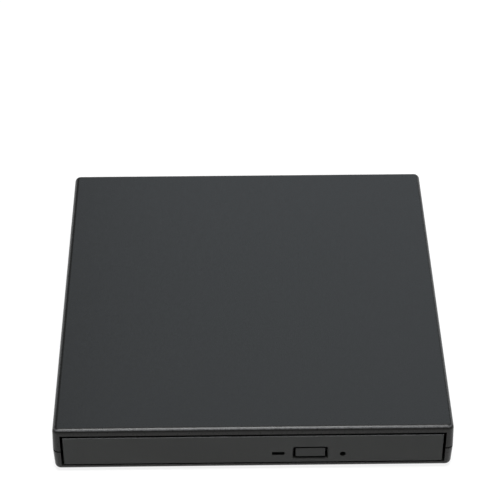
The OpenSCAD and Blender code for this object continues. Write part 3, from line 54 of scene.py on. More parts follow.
def hexColour(text):
    # sRGB hex to the linear values that the shader sockets take
    values = [int(text[i:i + 2], 16) / 255 for i in (1, 3, 5)]
    return [v / 12.92 if v <= 0.04045 else ((v + 0.055) / 1.055) ** 2.4 for v in values] + [1.0]


def addNode(tree, kind, settings=None, inputs=None):
    # a socket given as an input is linked, anything else is set on the input itself
    node = tree.nodes.new(kind)
    for key, value in (settings or {}).items():
        setattr(node, key, value)
    for key, value in (inputs or {}).items():
        if isinstance(value, bpy.types.NodeSocket):
            tree.links.new(value, node.inputs[key])
        else:
            node.inputs[key].default_value = value
    return node


def newMaterial(name):
    material = bpy.data.materials.new(name)
    material.use_nodes = True
    tree = material.node_tree
    return material, tree, tree.nodes["Principled BSDF"]


def boxMm(node):
    # corners of a CAD node in millimetres
    return [[v / mm for v in corner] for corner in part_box(node)]


def perMm(size):
    # noise scale for a feature of this size in millimetres
    return 1 / (size * mm)


def deselectAll():
    bpy.ops.object.select_all(action="DESELECT")


def makeActive(obj):
    deselectAll()
    obj.select_set(True)
    bpy.context.view_layer.objects.active = obj


def addBlock(low, high):
    deselectAll()
    middle = [(a + b) / 2 * mm for a, b in zip(low, high)]
    bpy.ops.mesh.primitive_cube_add(size=1, location=middle)
    block = bpy.context.object
    block.scale = [(b - a) * mm for a, b in zip(low, high)]
    bpy.ops.object.transform_apply(location=True, rotation=True, scale=True)
    return block


def addRound(x, y, z, radius, sides=64):
    # the axis is the one that is given as a pair, from one end to the other
    deselectAll()
    turn = (0, 0, 0)
    spans = [x, y, z]
    axis = [isinstance(span, tuple) for span in spans].index(True)
    if axis == 0:
        turn = (0, math.pi / 2, 0)
    if axis == 1:
        turn = (math.pi / 2, 0, 0)
    low, high = spans[axis]
    spans[axis] = (low + high) / 2
    bpy.ops.mesh.primitive_cylinder_add(
        vertices=sides, radius=radius * mm, depth=(high - low) * mm,
        location=[span * mm for span in spans], rotation=turn)
    bpy.ops.object.transform_apply(location=True, rotation=True, scale=True)
    return bpy.context.object


def pickEdges(obj, test):
    makeActive(obj)
    bpy.ops.object.mode_set(mode="EDIT")
    bpy.ops.mesh.select_mode(type="EDGE")
    bpy.ops.mesh.select_all(action="DESELECT")
    bpy.ops.object.mode_set(mode="OBJECT")
    points = obj.data.vertices
    for edge in obj.data.edges:
        edge.select = test(points[edge.vertices[0]].co / mm, points[edge.vertices[1]].co / mm)
    bpy.ops.object.mode_set(mode="EDIT")


def pickFaces(obj, test):
    makeActive(obj)
    bpy.ops.object.mode_set(mode="EDIT")
    bpy.ops.mesh.select_mode(type="FACE")
    bpy.ops.mesh.select_all(action="DESELECT")
    bpy.ops.object.mode_set(mode="OBJECT")
    for face in obj.data.polygons:
        face.select = test(face.center / mm, face.normal)
    bpy.ops.object.mode_set(mode="EDIT")


def bevelEdges(obj, width, segments, test):
    pickEdges(obj, test)
    bpy.ops.mesh.bevel(offset=width * mm, segments=segments, profile=0.5, affect="EDGES")
    bpy.ops.object.mode_set(mode="OBJECT")


def isUpright(a, b):
    return abs(a.x - b.x) < 0.01 and abs(a.y - b.y) < 0.01


def runsAlongY(a, b):
    return abs(a.x - b.x) < 0.01 and abs(a.z - b.z) < 0.01


def extrudeFaces(obj, test, thickness, move):
    # inset the picked faces, then pull the inner ones along
    pickFaces(obj, test)
    if thickness:
        bpy.ops.mesh.inset(thickness=thickness * mm)
    if any(move):
        bpy.ops.mesh.extrude_region_move(TRANSFORM_OT_translate={"value": [v * mm for v in move]})
    bpy.ops.object.mode_set(mode="OBJECT")


def cutAway(obj, *cutters):
    for cutter in cutters:
        makeActive(obj)
        cut = obj.modifiers.new("cut", "BOOLEAN")
        cut.operation = "DIFFERENCE"
        cut.solver = "EXACT"
        cut.object = cutter
        bpy.ops.object.modifier_apply(modifier=cut.name)
        bpy.data.objects.remove(cutter)
    return obj


def joinPieces(obj, *others):
    makeActive(obj)
    for other in others:
        other.select_set(True)
    bpy.ops.object.join()
    return obj


def copyPiece(obj, offset):
    makeActive(obj)
    bpy.ops.object.duplicate()
    copy = bpy.context.object
    copy.location = [v * mm for v in offset]
    bpy.ops.object.transform_apply(location=True, rotation=True, scale=True)
    return copy


def turnPiece(obj, degrees):
    makeActive(obj)
    obj.rotation_euler[2] = math.radians(degrees)
    bpy.ops.object.transform_apply(location=True, rotation=True, scale=True)
    return obj


def softenEdges(obj, width, angle=40, segments=2):
    makeActive(obj)
    soft = obj.modifiers.new("soft", "BEVEL")
    soft.width = width * mm
    soft.segments = segments
    soft.limit_method = "ANGLE"
    soft.angle_limit = math.radians(angle)
    bpy.ops.object.modifier_apply(modifier=soft.name)
    return obj


def finishPiece(obj, name, body, material, slot, *stoodFor):
    obj.name = name
    obj.data.name = name
    obj.data.materials.clear()
    obj.data.materials.append(material)
    makeActive(obj)
    bpy.ops.object.shade_smooth_by_angle(angle=math.radians(35))
    flat = obj.modifiers.new("flat", "WEIGHTED_NORMAL")
    flat.keep_sharp = True
    flat.weight = 80
    bpy.ops.object.modifier_apply(modifier=flat.name)
    if body:
        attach(obj, body)
    if stoodFor:
        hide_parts(*stoodFor)
    return obj


# painted highlight along upper rims: how steep a highlighted face is, as the upright part of its normal, and
# how much fainter the highlight is painted on the sides
highlightBand = {"fadeIn": 0.16, "fadeOut": (0.8, 0.95), "front": -0.5, "sides": 0.45}


def mouldedPlastic(name, colour, grain, roughness, bump, sheen=0.5, paintedHighlight=None, rim=0, tilt=0.62):
    # injection-moulded plastic from a spark-eroded mould: an even satin skin with a fine pebble
    # that breaks up the gloss, and faint cloudiness where the melt cooled; given a highlight colour, it also
    # gets a painted highlight along its upper rims
    material, tree, shader = newMaterial(name)
    place = addNode(tree, "ShaderNodeTexCoord")
    pebble = addNode(tree, "ShaderNodeTexNoise", None, {
        "Vector": place.outputs["Object"], "Scale": perMm(grain), "Detail": 3.0, "Roughness": 0.55})
    cloud = addNode(tree, "ShaderNodeTexNoise", None, {
        "Vector": place.outputs["Object"], "Scale": perMm(38), "Detail": 2.0})
    mottle = 0.06
    dark = [c * (1 - mottle) for c in hexColour(colour)[:3]] + [1.0]
    pale = [c * (1 + mottle) for c in hexColour(colour)[:3]] + [1.0]
    tint = addNode(tree, "ShaderNodeMix", {"data_type": "RGBA"}, {
        "Factor": cloud.outputs["Fac"], "A": dark, "B": pale})
    skin = tint.outputs["Result"]
    if paintedHighlight:
        # painted highlight: the upper rim is painted paler in specks where the lamps would glint on it, most
        # of all in front
        facing = addNode(tree, "ShaderNodeSeparateXYZ", None, {"Vector": place.outputs["Normal"]})
        rise = addNode(tree, "ShaderNodeMapRange", {"interpolation_type": "SMOOTHSTEP"}, {
            "Value": facing.outputs["Z"], "From Min": tilt, "From Max": tilt + highlightBand["fadeIn"]})
        fall = addNode(tree, "ShaderNodeMapRange", {"interpolation_type": "SMOOTHSTEP"}, {
            "Value": facing.outputs["Z"], "To Min": 1.0, "To Max": 0.0,
            "From Min": highlightBand["fadeOut"][0], "From Max": highlightBand["fadeOut"][1]})
        edge = addNode(tree, "ShaderNodeMath", {"operation": "MULTIPLY"}, {
            0: rise.outputs["Result"], 1: fall.outputs["Result"]})
        height = addNode(tree, "ShaderNodeSeparateXYZ", None, {"Vector": place.outputs["Object"]})
        upper = addNode(tree, "ShaderNodeMath", {"operation": "GREATER_THAN"}, {
            0: height.outputs["Z"], 1: rim * mm})
        highlightFacing = addNode(tree, "ShaderNodeMapRange", None, {
            "Value": facing.outputs["Y"], "From Min": highlightBand["front"], "From Max": 0.0,
            "To Min": 1.0, "To Max": highlightBand["sides"]})
        front = addNode(tree, "ShaderNodeMath", {"operation": "MULTIPLY"}, {
            0: upper.outputs[0], 1: highlightFacing.outputs["Result"]})
        highlightMask = addNode(tree, "ShaderNodeMath", {"operation": "MULTIPLY"}, {
            0: edge.outputs[0], 1: front.outputs[0]})
        specks = addNode(tree, "ShaderNodeMath", {"operation": "MULTIPLY"}, {
            0: highlightMask.outputs[0], 1: pebble.outputs["Fac"]})
        highlighted = addNode(tree, "ShaderNodeMix", {"data_type": "RGBA"}, {
            "Factor": specks.outputs[0], "A": skin, "B": hexColour(paintedHighlight)})
        skin = highlighted.outputs["Result"]
    tree.links.new(skin, shader.inputs["Base Color"])
    gloss = addNode(tree, "ShaderNodeMapRange", None, {
        "Value": pebble.outputs["Fac"], "From Min": 0.3, "From Max": 0.7,
        "To Min": roughness - 0.05, "To Max": roughness + 0.05})
    tree.links.new(gloss.outputs["Result"], shader.inputs["Roughness"])
    relief = addNode(tree, "ShaderNodeBump", None, {
        "Height": pebble.outputs["Fac"], "Strength": bump, "Distance": 0.02 * mm})
    tree.links.new(relief.outputs["Normal"], shader.inputs["Normal"])
    shader.inputs["IOR"].default_value = 1.53
    # the pebble traps part of the gloss
    shader.inputs["Specular IOR Level"].default_value = sheen
    return material


def brushedMetal(name, colour, stretch, roughness, lineWidth, bump):
    # rolled or ground metal: fine lines along one way, that draw the highlights out across it
    material, tree, shader = newMaterial(name)
    place = addNode(tree, "ShaderNodeTexCoord")
    along = addNode(tree, "ShaderNodeMapping", None, {
        "Vector": place.outputs["Object"], "Scale": stretch})
    lines = addNode(tree, "ShaderNodeTexNoise", None, {
        "Vector": along.outputs["Vector"], "Scale": perMm(lineWidth), "Detail": 2.0})
    dark = [c * 0.86 for c in hexColour(colour)[:3]] + [1.0]
    tint = addNode(tree, "ShaderNodeMix", {"data_type": "RGBA"}, {
        "Factor": lines.outputs["Fac"], "A": dark, "B": hexColour(colour)})
    tree.links.new(tint.outputs["Result"], shader.inputs["Base Color"])
    gloss = addNode(tree, "ShaderNodeMapRange", None, {
        "Value": lines.outputs["Fac"], "To Min": roughness - 0.08, "To Max": roughness + 0.08})
    tree.links.new(gloss.outputs["Result"], shader.inputs["Roughness"])
    relief = addNode(tree, "ShaderNodeBump", None, {
        "Height": lines.outputs["Fac"], "Strength": bump, "Distance": 0.01 * mm})
    tree.links.new(relief.outputs["Normal"], shader.inputs["Normal"])
    shader.inputs["Metallic"].default_value = 1.0
    return material


finish = {
    # the case and bezel get a paler colour painted along their upper front rims as a highlight
    "caseAbs": mouldedPlastic(
        "mouldedAbsCase", "#1f1f1e", 0.7, 0.3, 0.35, 0.2, paintedHighlight="#7c7d7f", rim=17.5),
    "bezelAbs": mouldedPlastic(
        "mouldedAbsBezel", "#373837", 0.6, 0.45, 0.2, 0.14, paintedHighlight="#8a8b8c", rim=15, tilt=0.26),
    "trayPs": mouldedPlastic("mouldedPolystyreneTray", "#232426", 0.7, 0.42, 0.25),
    "darkPbt": mouldedPlastic("mouldedPbtBlack", "#1a1b1d", 0.5, 0.45, 0.2),
    "paleNylon": mouldedPlastic("mouldedNylonNatural", "#dad6c8", 0.6, 0.42, 0.2),
    "palePbt": mouldedPlastic("mouldedPbtIvory", "#e2dfd3", 0.5, 0.4, 0.2),
    "footRubber": mouldedPlastic("pressedSiliconeRubber", "#1b1b1b", 0.9, 0.75, 0.4),
    "matRubber": mouldedPlastic("pressedNitrileMat", "#141415", 0.8, 0.8, 0.5),
    "chipEpoxy": mouldedPlastic("mouldedEpoxyChip", "#1c1d1f", 0.3, 0.6, 0.3),
    "ferrite": mouldedPlastic("sinteredFerriteMagnet", "#232427", 0.4, 0.55, 0.3),
    "zincSheet": brushedMetal("rolledZincPlatedSteel", "#b4b7ba", (1, 0.04, 1), 0.34, 0.35, 0.15),
    "lidSheet": brushedMetal("rolledGalvanisedSteelLid", "#a9adb0", (1, 0.03, 1), 0.38, 0.4, 0.15),
    "groundRod": brushedMetal("groundStainlessRod", "#c9cbcd", (1, 1, 0.3), 0.2, 0.3, 0.08),
    "screwSteel": brushedMetal("blackenedScrewSteel", "#4b4c4f", (1, 1, 1), 0.4, 0.3, 0.2),
    "nickelSheet": brushedMetal("stampedNickelPlatedBrass", "#c4c3bd", (1, 0.05, 1), 0.25, 0.35, 0.1),
    "castMagnesium": brushedMetal("dieCastMagnesium", "#8f9295", (1, 1, 1), 0.5, 0.5, 0.4),
    "turnedBrass": brushedMetal("turnedSinteredBronze", "#a9854d", (1, 1, 0.1), 0.35, 0.3, 0.15),
    "goldContact": brushedMetal("stampedGoldFlashedContact", "#c79f45", (1, 0.1, 1), 0.25, 0.3, 0.1),
    "copperWire": brushedMetal("woundEnamelledCopper", "#a4552a", (0.1, 1, 1), 0.3, 0.3, 0.6),
}


def smokedWindow():
    # polished smoke-tinted polycarbonate: glossy and nearly black, with a little depth
    material, tree, shader = newMaterial("polishedSmokePolycarbonate")
    place = addNode(tree, "ShaderNodeTexCoord")
    flow = addNode(tree, "ShaderNodeTexNoise", None, {
        "Vector": place.outputs["Object"], "Scale": perMm(1.6), "Detail": 1.0})
    tint = addNode(tree, "ShaderNodeMix", {"data_type": "RGBA"}, {
        "Factor": flow.outputs["Fac"], "A": hexColour("#101112"), "B": hexColour("#1b1d1f")})
    tree.links.new(tint.outputs["Result"], shader.inputs["Base Color"])
    shader.inputs["Roughness"].default_value = 0.12
    shader.inputs["IOR"].default_value = 1.585
    return material


def solderMaskBoard():
    # glass-epoxy board under green solder mask: copper tracks show as paler lines below the gloss
    material, tree, shader = newMaterial("solderMaskGlassEpoxy")
    place = addNode(tree, "ShaderNodeTexCoord")
    tracks = addNode(tree, "ShaderNodeTexBrick", {"offset": 0.37, "squash": 0.6}, {
        "Vector": place.outputs["Object"], "Scale": perMm(2.4),
        "Color1": hexColour("#14532d"), "Color2": hexColour("#124a29"), "Mortar": hexColour("#2a7a48"),
        "Mortar Size": 0.06, "Brick Width": 2.2, "Row Height": 0.5})
    tree.links.new(tracks.outputs["Color"], shader.inputs["Base Color"])
    relief = addNode(tree, "ShaderNodeBump", {"invert": True}, {
        "Height": tracks.outputs["Fac"], "Strength": 0.3, "Distance": 0.03 * mm})
    tree.links.new(relief.outputs["Normal"], shader.inputs["Normal"])
    shader.inputs["Roughness"].default_value = 0.28
    return material


def flexRibbon():
    # polyester flat cable: tinned conductors at a pitch of 1 mm show through the white film
    material, tree, shader = newMaterial("laminatedPolyesterRibbon")
    place = addNode(tree, "ShaderNodeTexCoord")
    across = addNode(tree, "ShaderNodeTexWave", {"wave_type": "BANDS", "bands_direction": "X"}, {
        "Vector": place.outputs["Object"], "Scale": 2 * math.pi / 20 * perMm(1.0)})
    tint = addNode(tree, "ShaderNodeMix", {"data_type": "RGBA"}, {
        "Factor": across.outputs["Fac"], "A": hexColour("#dcdad2"), "B": hexColour("#b3b2ad")})
    tree.links.new(tint.outputs["Result"], shader.inputs["Base Color"])
    shader.inputs["Roughness"].default_value = 0.35
    return material


def coatedLens():
    # moulded lens with an anti-reflection coating, bluish in the middle and violet at the rim
    material, tree, shader = newMaterial("mouldedCoatedLens")
    low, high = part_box("objective_lens")
    reach = (high[0] - low[0]) / 2
    place = addNode(tree, "ShaderNodeTexCoord")
    centred = addNode(tree, "ShaderNodeMapping", {"vector_type": "TEXTURE"}, {
        "Vector": place.outputs["Object"], "Location": [(a + b) / 2 for a, b in zip(low, high)],
        "Scale": (reach, reach, reach)})
    rings = addNode(tree, "ShaderNodeTexGradient", {"gradient_type": "SPHERICAL"}, {
        "Vector": centred.outputs["Vector"]})
    tint = addNode(tree, "ShaderNodeMix", {"data_type": "RGBA"}, {
        "Factor": rings.outputs["Fac"], "A": hexColour("#8d6fb0"), "B": hexColour("#34507a")})
    tree.links.new(tint.outputs["Result"], shader.inputs["Base Color"])
    shader.inputs["Roughness"].default_value = 0.04
    shader.inputs["IOR"].default_value = 1.52
    shader.inputs["Coat Weight"].default_value = 1.0
    shader.inputs["Coat Roughness"].default_value = 0.03
    return material


def paintedSheet():
    # steel sheet under thin black powder paint, with a slight orange-peel skin
    material, tree, shader = newMaterial("powderPaintedSteelSheet")
    place = addNode(tree, "ShaderNodeTexCoord")
    peel = addNode(tree, "ShaderNodeTexNoise", None, {
        "Vector": place.outputs["Object"], "Scale": perMm(0.9), "Detail": 2.0})
    tint = addNode(tree, "ShaderNodeMix", {"data_type": "RGBA"}, {
        "Factor": peel.outputs["Fac"], "A": hexColour("#1d1e20"), "B": hexColour("#27282b")})
    tree.links.new(tint.outputs["Result"], shader.inputs["Base Color"])
    relief = addNode(tree, "ShaderNodeBump", None, {
        "Height": peel.outputs["Fac"], "Strength": 0.3, "Distance": 0.03 * mm})
    tree.links.new(relief.outputs["Normal"], shader.inputs["Normal"])
    shader.inputs["Roughness"].default_value = 0.36
    return material


finish["smokeWindow"] = smokedWindow()
finish["board"] = solderMaskBoard()
finish["ribbon"] = flexRibbon()
finish["lens"] = coatedLens()
finish["paintedSheet"] = paintedSheet()
print("materials made")

caseShell = {
    "halfWidth": 70, "front": -73, "rear": 73, "bottom": 1, "top": 20,
    "cornerRadius": 2.2, "topRadius": 1.8, "baseRadius": 1.6, "innerRadius": 0.4,
    "seam": 9.7, "seamGap": 0.6, "draft": 0.3, "cheek": 0.3, "wall": 2.2, "roof": 18, "floor": 2.8,
    "openLow": 3, "openHigh": 17.4, "openDepth": 4, "edge": 0.12,
}
seamTongue = {"front": -69.5, "rear": 71.8, "thickness": 1, "sunk": 1, "rise": 1.3}
usbPort = {"x": -8, "z": 10.8, "width": 12, "height": 10.8, "gap": 0.35, "radius": 0.5}
dcPort = {"x": -34, "z": 11.9, "radius": 4.2}
feet = {
    "x": 55, "ys": (-61, 50), "radius": 5, "pocket": 0.4, "edge": 0.5, "rim": 1.4, "dish": 0.15}
caseScrews = {
    "x": 61, "y": 64, "headRadius": 2.4, "sink": 1.6, "shankRadius": 1.2, "length": 11, "turn": 24}
driveScrews = {
    "x": 57, "ys": (-48.6, 15.4), "headRadius": 1.9, "sink": 1.2, "shankRadius": 1, "length": 3.8, "turn": 37}
bridgeScrews = {"x": 50, "y": 67.5, "z": 6.6}
seatGap = 0.1
wellInFront, wellBehind, wellAbove = -90, 80, 40  # ends of cutters that pass right through


def hollowCutter(low, high):
    inner = caseShell["halfWidth"] - caseShell["wall"]
    block = addBlock(
        (-inner, caseShell["front"] + caseShell["wall"], low),
        (inner, caseShell["rear"] - caseShell["wall"], high))
    bevelEdges(block, caseShell["innerRadius"], 4, isUpright)
    return block


def openingCutter(low, high):
    inner = caseShell["halfWidth"] - caseShell["wall"] - caseShell["cheek"]
    return addBlock((-inner, wellInFront, low), (inner, caseShell["front"] + caseShell["openDepth"], high))


def portCutters():
    inside = 66
    wide, high = usbPort["width"] / 2 + usbPort["gap"], usbPort["height"] / 2 + usbPort["gap"]
    square = addBlock(
        (usbPort["x"] - wide, inside, usbPort["z"] - high),
        (usbPort["x"] + wide, wellBehind, usbPort["z"] + high))
    bevelEdges(square, usbPort["radius"], 3, runsAlongY)
    return square, addRound(dcPort["x"], (inside, wellBehind), dcPort["z"], dcPort["radius"])


def flareToSeam(shell, facing):
    # moulding draft leaves each shell widest where it came out of the mould
    half, depth, draft = caseShell["halfWidth"], caseShell["rear"], caseShell["draft"]
    pickFaces(shell, lambda c, n: n.z * facing > 0.9)
    bpy.ops.transform.resize(value=(1 + draft / half, 1 + draft / depth, 1), center_override=(0, 0, 0))
    bpy.ops.object.mode_set(mode="OBJECT")


def makeTopShell():
    half, seam = caseShell["halfWidth"], caseShell["seam"] + caseShell["seamGap"]
    shell = addBlock((-half, caseShell["front"], seam), (half, caseShell["rear"], caseShell["top"]))
    bevelEdges(shell, caseShell["cornerRadius"], 12, isUpright)
    flareToSeam(shell, -1)
    top = caseShell["top"]
    bevelEdges(shell, caseShell["topRadius"], 12, lambda a, b: min(a.z, b.z) > top - 0.01)
    cutAway(
        shell, hollowCutter(0, caseShell["roof"]), openingCutter(0, caseShell["openHigh"]), *portCutters())
    softenEdges(shell, caseShell["edge"])
    return finishPiece(shell, "topShell", "case", finish["caseAbs"], "case_plastic", "top_cover")


def makeBottomShell():
    half, seam = caseShell["halfWidth"], caseShell["seam"]
    bottom = caseShell["bottom"]
    shell = addBlock((-half, caseShell["front"], bottom), (half, caseShell["rear"], seam))
    bevelEdges(shell, caseShell["cornerRadius"], 12, isUpright)
    flareToSeam(shell, 1)
    bevelEdges(shell, caseShell["baseRadius"], 10, lambda a, b: max(a.z, b.z) < bottom + 0.01)
    cutAway(
        shell, hollowCutter(caseShell["floor"], wellAbove), openingCutter(caseShell["openLow"], wellAbove),
        *portCutters())
    below = bottom - 2
    for side in (-1, 1):
        cutAway(shell, addRound(
            side * caseScrews["x"], caseScrews["y"], (below, bottom + caseScrews["sink"]),
            caseScrews["headRadius"] + seatGap, 32))
        for y in driveScrews["ys"]:
            cutAway(shell, addRound(
                side * driveScrews["x"], y, (below, bottom + driveScrews["sink"]),
                driveScrews["headRadius"] + seatGap, 32))
        for y in feet["ys"]:
            cutAway(shell, addRound(
                side * feet["x"], y, (below, bottom + feet["pocket"]), feet["radius"] + seatGap, 48))
    softenEdges(shell, caseShell["edge"])
    # tongue that stands up behind the seam
    inner = half - caseShell["wall"]
    outer = inner + seamTongue["thickness"]
    tongue = addBlock(
        (-outer, seamTongue["front"], seam - seamTongue["sunk"]),
        (outer, seamTongue["rear"], seam + seamTongue["rise"]))
    rearInside = seamTongue["rear"] - seamTongue["thickness"]
    cutAway(tongue, addBlock((-inner, wellInFront, 0), (inner, rearInside, wellAbove)), *portCutters())
    joinPieces(shell, tongue)
    return finishPiece(shell, "bottomShell", "case", finish["caseAbs"], "case_plastic", "bottom_cover")


makeTopShell()
makeBottomShell()
print("case shells made")


def makeFeet():
    foot = addRound(0, 0, (0, caseShell["bottom"] + feet["pocket"]), feet["radius"], 64)
    bevelEdges(foot, feet["edge"], 4, lambda a, b: max(a.z, b.z) < 0.01)
    # shallow dished sole, as pressed feet have
    extrudeFaces(foot, lambda c, n: n.z < -0.999, feet["rim"], (0, 0, feet["dish"]))
    pads = [copyPiece(foot, (side * feet["x"], y, 0)) for side in (-1, 1) for y in feet["ys"]]
    bpy.data.objects.remove(foot)
    joinPieces(*pads)
    return finishPiece(pads[0], "footPads", "case", finish["footRubber"], "rubber", "rubber_feet")


def crossScrew(kind):
    # pan head with a cross recess, seen from below, standing on z = 0 with its head down
    headRadius, headHeight = kind["headRadius"], kind["sink"]
    screw = addRound(0, 0, (0, headHeight), headRadius, 40)
    bevelEdges(screw, headHeight * 0.45, 5, lambda a, b: max(a.z, b.z) < 0.01)
    arm = headRadius * 0.62
    width = headRadius * 0.14
    cutAway(
        screw,
        addBlock((-arm, -width, -1), (arm, width, headHeight * 0.5)),
        addBlock((-width, -arm, -1), (width, arm, headHeight * 0.5)))
    softenEdges(screw, 0.06, 50, 2)
    joinPieces(screw, addRound(0, 0, (headHeight * 0.9, kind["length"]), kind["shankRadius"], 24))
    return turnPiece(screw, kind["turn"])


def makeCaseScrews():
    screw = crossScrew(caseScrews)
    pair = [
        copyPiece(screw, (side * caseScrews["x"], caseScrews["y"], caseShell["bottom"])) for side in (-1, 1)]
    bpy.data.objects.remove(screw)
    joinPieces(*pair)
    return finishPiece(pair[0], "closingScrews", "case", finish["screwSteel"], "screw_steel", "case_screws")


def makeDriveScrews():
    screw = crossScrew(driveScrews)
    spots = [(side * driveScrews["x"], y) for side in (-1, 1) for y in driveScrews["ys"]]
    four = [copyPiece(screw, (x, y, caseShell["bottom"])) for x, y in spots]
    # two more, upside down, hold the bridge board
    pickFaces(screw, lambda c, n: True)
    bpy.ops.transform.rotate(value=math.pi, orient_axis="X", center_override=(0, 0, 0))
    bpy.ops.object.mode_set(mode="OBJECT")
    two = [
        copyPiece(screw, (side * bridgeScrews["x"], bridgeScrews["y"], bridgeScrews["z"])) for side in (-1, 1)]
    bpy.data.objects.remove(screw)
    joinPieces(*four, *two)
    return finishPiece(four[0], "smallScrews", "case", finish["screwSteel"], "screw_steel", "drive_screws")


makeFeet()
makeCaseScrews()
makeDriveScrews()
print("feet and screws made")

bezelPanel = {"edge": 0.45, "cutEdge": 0.05, "cornerRadius": 0.5}
ejectKey = {
    "x": 20.1, "z": 7.9, "width": 10.4, "height": 4.2, "gap": 0.85, "radius": 0.45,
    "recessX": 1.3, "recessZ": 1.1, "recessDepth": 0.7, "recessRadius": 1, "crown": 0.12, "capDepth": 2.65,
    "neckInset": 1.7, "neckSpan": (2.5, 3.6), "flangeInset": 0.4, "flangeSpan": (3.45, 4.25),
    "stemStart": 4, "stemHalfWidth": 1.2, "stemHalfHeight": 1.1,
}
lampSlot = {"x": 8.8, "z": 7.75, "width": 4.5, "height": 1.6, "radius": 0.3, "lensRadius": 0.2}
pinHole = {"x": 31.5, "z": 7.3, "radius": 1.1}


def makeBezel():
    low, high = boxMm("bezel")
    panel = addBlock(low, high)
    bevelEdges(panel, bezelPanel["cornerRadius"], 4, runsAlongY)
    front = low[1]
    bevelEdges(panel, bezelPanel["edge"], 4, lambda a, b: max(a.y, b.y) < front + 0.01)
    through = (front - 2, front + 9)
    # sloping recess round the key
    key, depth = ejectKey, ejectKey["recessDepth"]
    width, height = key["width"] / 2 + key["recessX"], key["height"] / 2 + key["recessZ"]
    recess = addBlock(
        (key["x"] - width, front - depth, key["z"] - height),
        (key["x"] + width, front + depth, key["z"] + height))
    bevelEdges(recess, key["recessRadius"], 6, runsAlongY)
    pickFaces(recess, lambda c, n: n.y > 0.9)
    holeWidth, holeHeight = key["width"] / 2 + key["gap"], key["height"] / 2 + key["gap"]
    bpy.ops.transform.resize(
        value=((holeWidth + seatGap) / width, 1, (holeHeight + seatGap) / height),
        center_override=(key["x"] * mm, 0, key["z"] * mm))
    bpy.ops.object.mode_set(mode="OBJECT")
    hole = addBlock(
        (key["x"] - holeWidth, through[0], key["z"] - holeHeight),
        (key["x"] + holeWidth, through[1], key["z"] + holeHeight))
    bevelEdges(hole, key["radius"], 4, runsAlongY)
    lamp = lampSlot
    slot = addBlock(
        (lamp["x"] - lamp["width"] / 2, through[0], lamp["z"] - lamp["height"] / 2),
        (lamp["x"] + lamp["width"] / 2, through[1], lamp["z"] + lamp["height"] / 2))
    bevelEdges(slot, lamp["radius"], 3, runsAlongY)
    pin = addRound(pinHole["x"], through, pinHole["z"], pinHole["radius"], 32)
    cutAway(panel, recess, hole, slot, pin)
    softenEdges(panel, bezelPanel["cutEdge"], 30, 2)
    return finishPiece(panel, "frontBezel", "tray", finish["bezelAbs"], "bezel_plastic", "bezel")


def makeEjectKey():
    low, high = boxMm("eject_button")
    key = ejectKey
    front = low[1]
    cap = addBlock(
        (key["x"] - key["width"] / 2, front, key["z"] - key["height"] / 2),
        (key["x"] + key["width"] / 2, front + key["capDepth"], key["z"] + key["height"] / 2))
    bevelEdges(cap, key["radius"], 5, runsAlongY)
    bevelEdges(cap, key["crown"], 4, lambda a, b: max(a.y, b.y) < front + 0.01)
    base, top = low[2] + key["flangeInset"], high[2] - key["flangeInset"]
    neck = addBlock(
        (low[0] + key["neckInset"], front + key["neckSpan"][0], base),
        (high[0] - key["neckInset"], front + key["neckSpan"][1], top))
    softenEdges(neck, 0.1)
    flange = addBlock(
        (low[0], front + key["flangeSpan"][0], base), (high[0], front + key["flangeSpan"][1], top))
    softenEdges(flange, 0.15)
    stem = addBlock(
        (key["x"] - key["stemHalfWidth"], front + key["stemStart"], key["z"] - key["stemHalfHeight"]),
        (key["x"] + key["stemHalfWidth"], high[1], key["z"] + key["stemHalfHeight"]))
    softenEdges(stem, 0.15)
    joinPieces(cap, neck, flange, stem)
    return finishPiece(cap, "ejectKey", "button", finish["bezelAbs"], "bezel_plastic", "eject_button")


def makeLampWindow():
    low, high = boxMm("led_window")
    window = addBlock(low, high)
    bevelEdges(window, lampSlot["lensRadius"], 3, runsAlongY)
    softenEdges(window, 0.08, 50, 3)
    return finishPiece(window, "lampWindow", "tray", finish["smokeWindow"], "lamp_plastic", "led_window")


makeBezel()
makeEjectKey()
makeLampWindow()
print("bezel and controls made")

usbSocket = {
    "skin": 0.4, "outerRadius": 0.7, "innerRadius": 0.4, "springWindow": (9, 4), "springHalfHeight": 1.6,
    "mouthWidth": 8.45, "mouthHeight": 7.78, "corner": 1.6, "mouthDepth": 9,
    "tongueWidth": 5.6, "tongueHeight": 3.2, "tongueBack": 1.2, "tongueTip": 0.5,
}
powerSocket = {"boreRadius": 3.15, "boreDepth": 9.5, "pinRadius": 1, "pinTip": 0.5}


def makeUsbShell():
    low, high = boxMm("usb_shell")
    skin = usbSocket["skin"]
    can = addBlock(low, high)
    bevelEdges(can, usbSocket["outerRadius"], 4, runsAlongY)
    inside = addBlock(
        (low[0] + skin, low[1] + skin, low[2] + skin), (high[0] - skin, high[1] + 5, high[2] - skin))
    bevelEdges(inside, usbSocket["innerRadius"], 4, runsAlongY)
    cutAway(can, inside)
    # spring windows stamped in both sides
    middle, half = (low[2] + high[2]) / 2, usbSocket["springHalfHeight"]
    start, end = usbSocket["springWindow"]
    cutAway(can, addBlock(
        (low[0] - 2, high[1] - start, middle - half), (high[0] + 2, high[1] - end, middle + half)))
    softenEdges(can, 0.08, 50, 2)
    return finishPiece(can, "usbCan", "case", finish["nickelSheet"], "sheet_steel", "usb_shell")


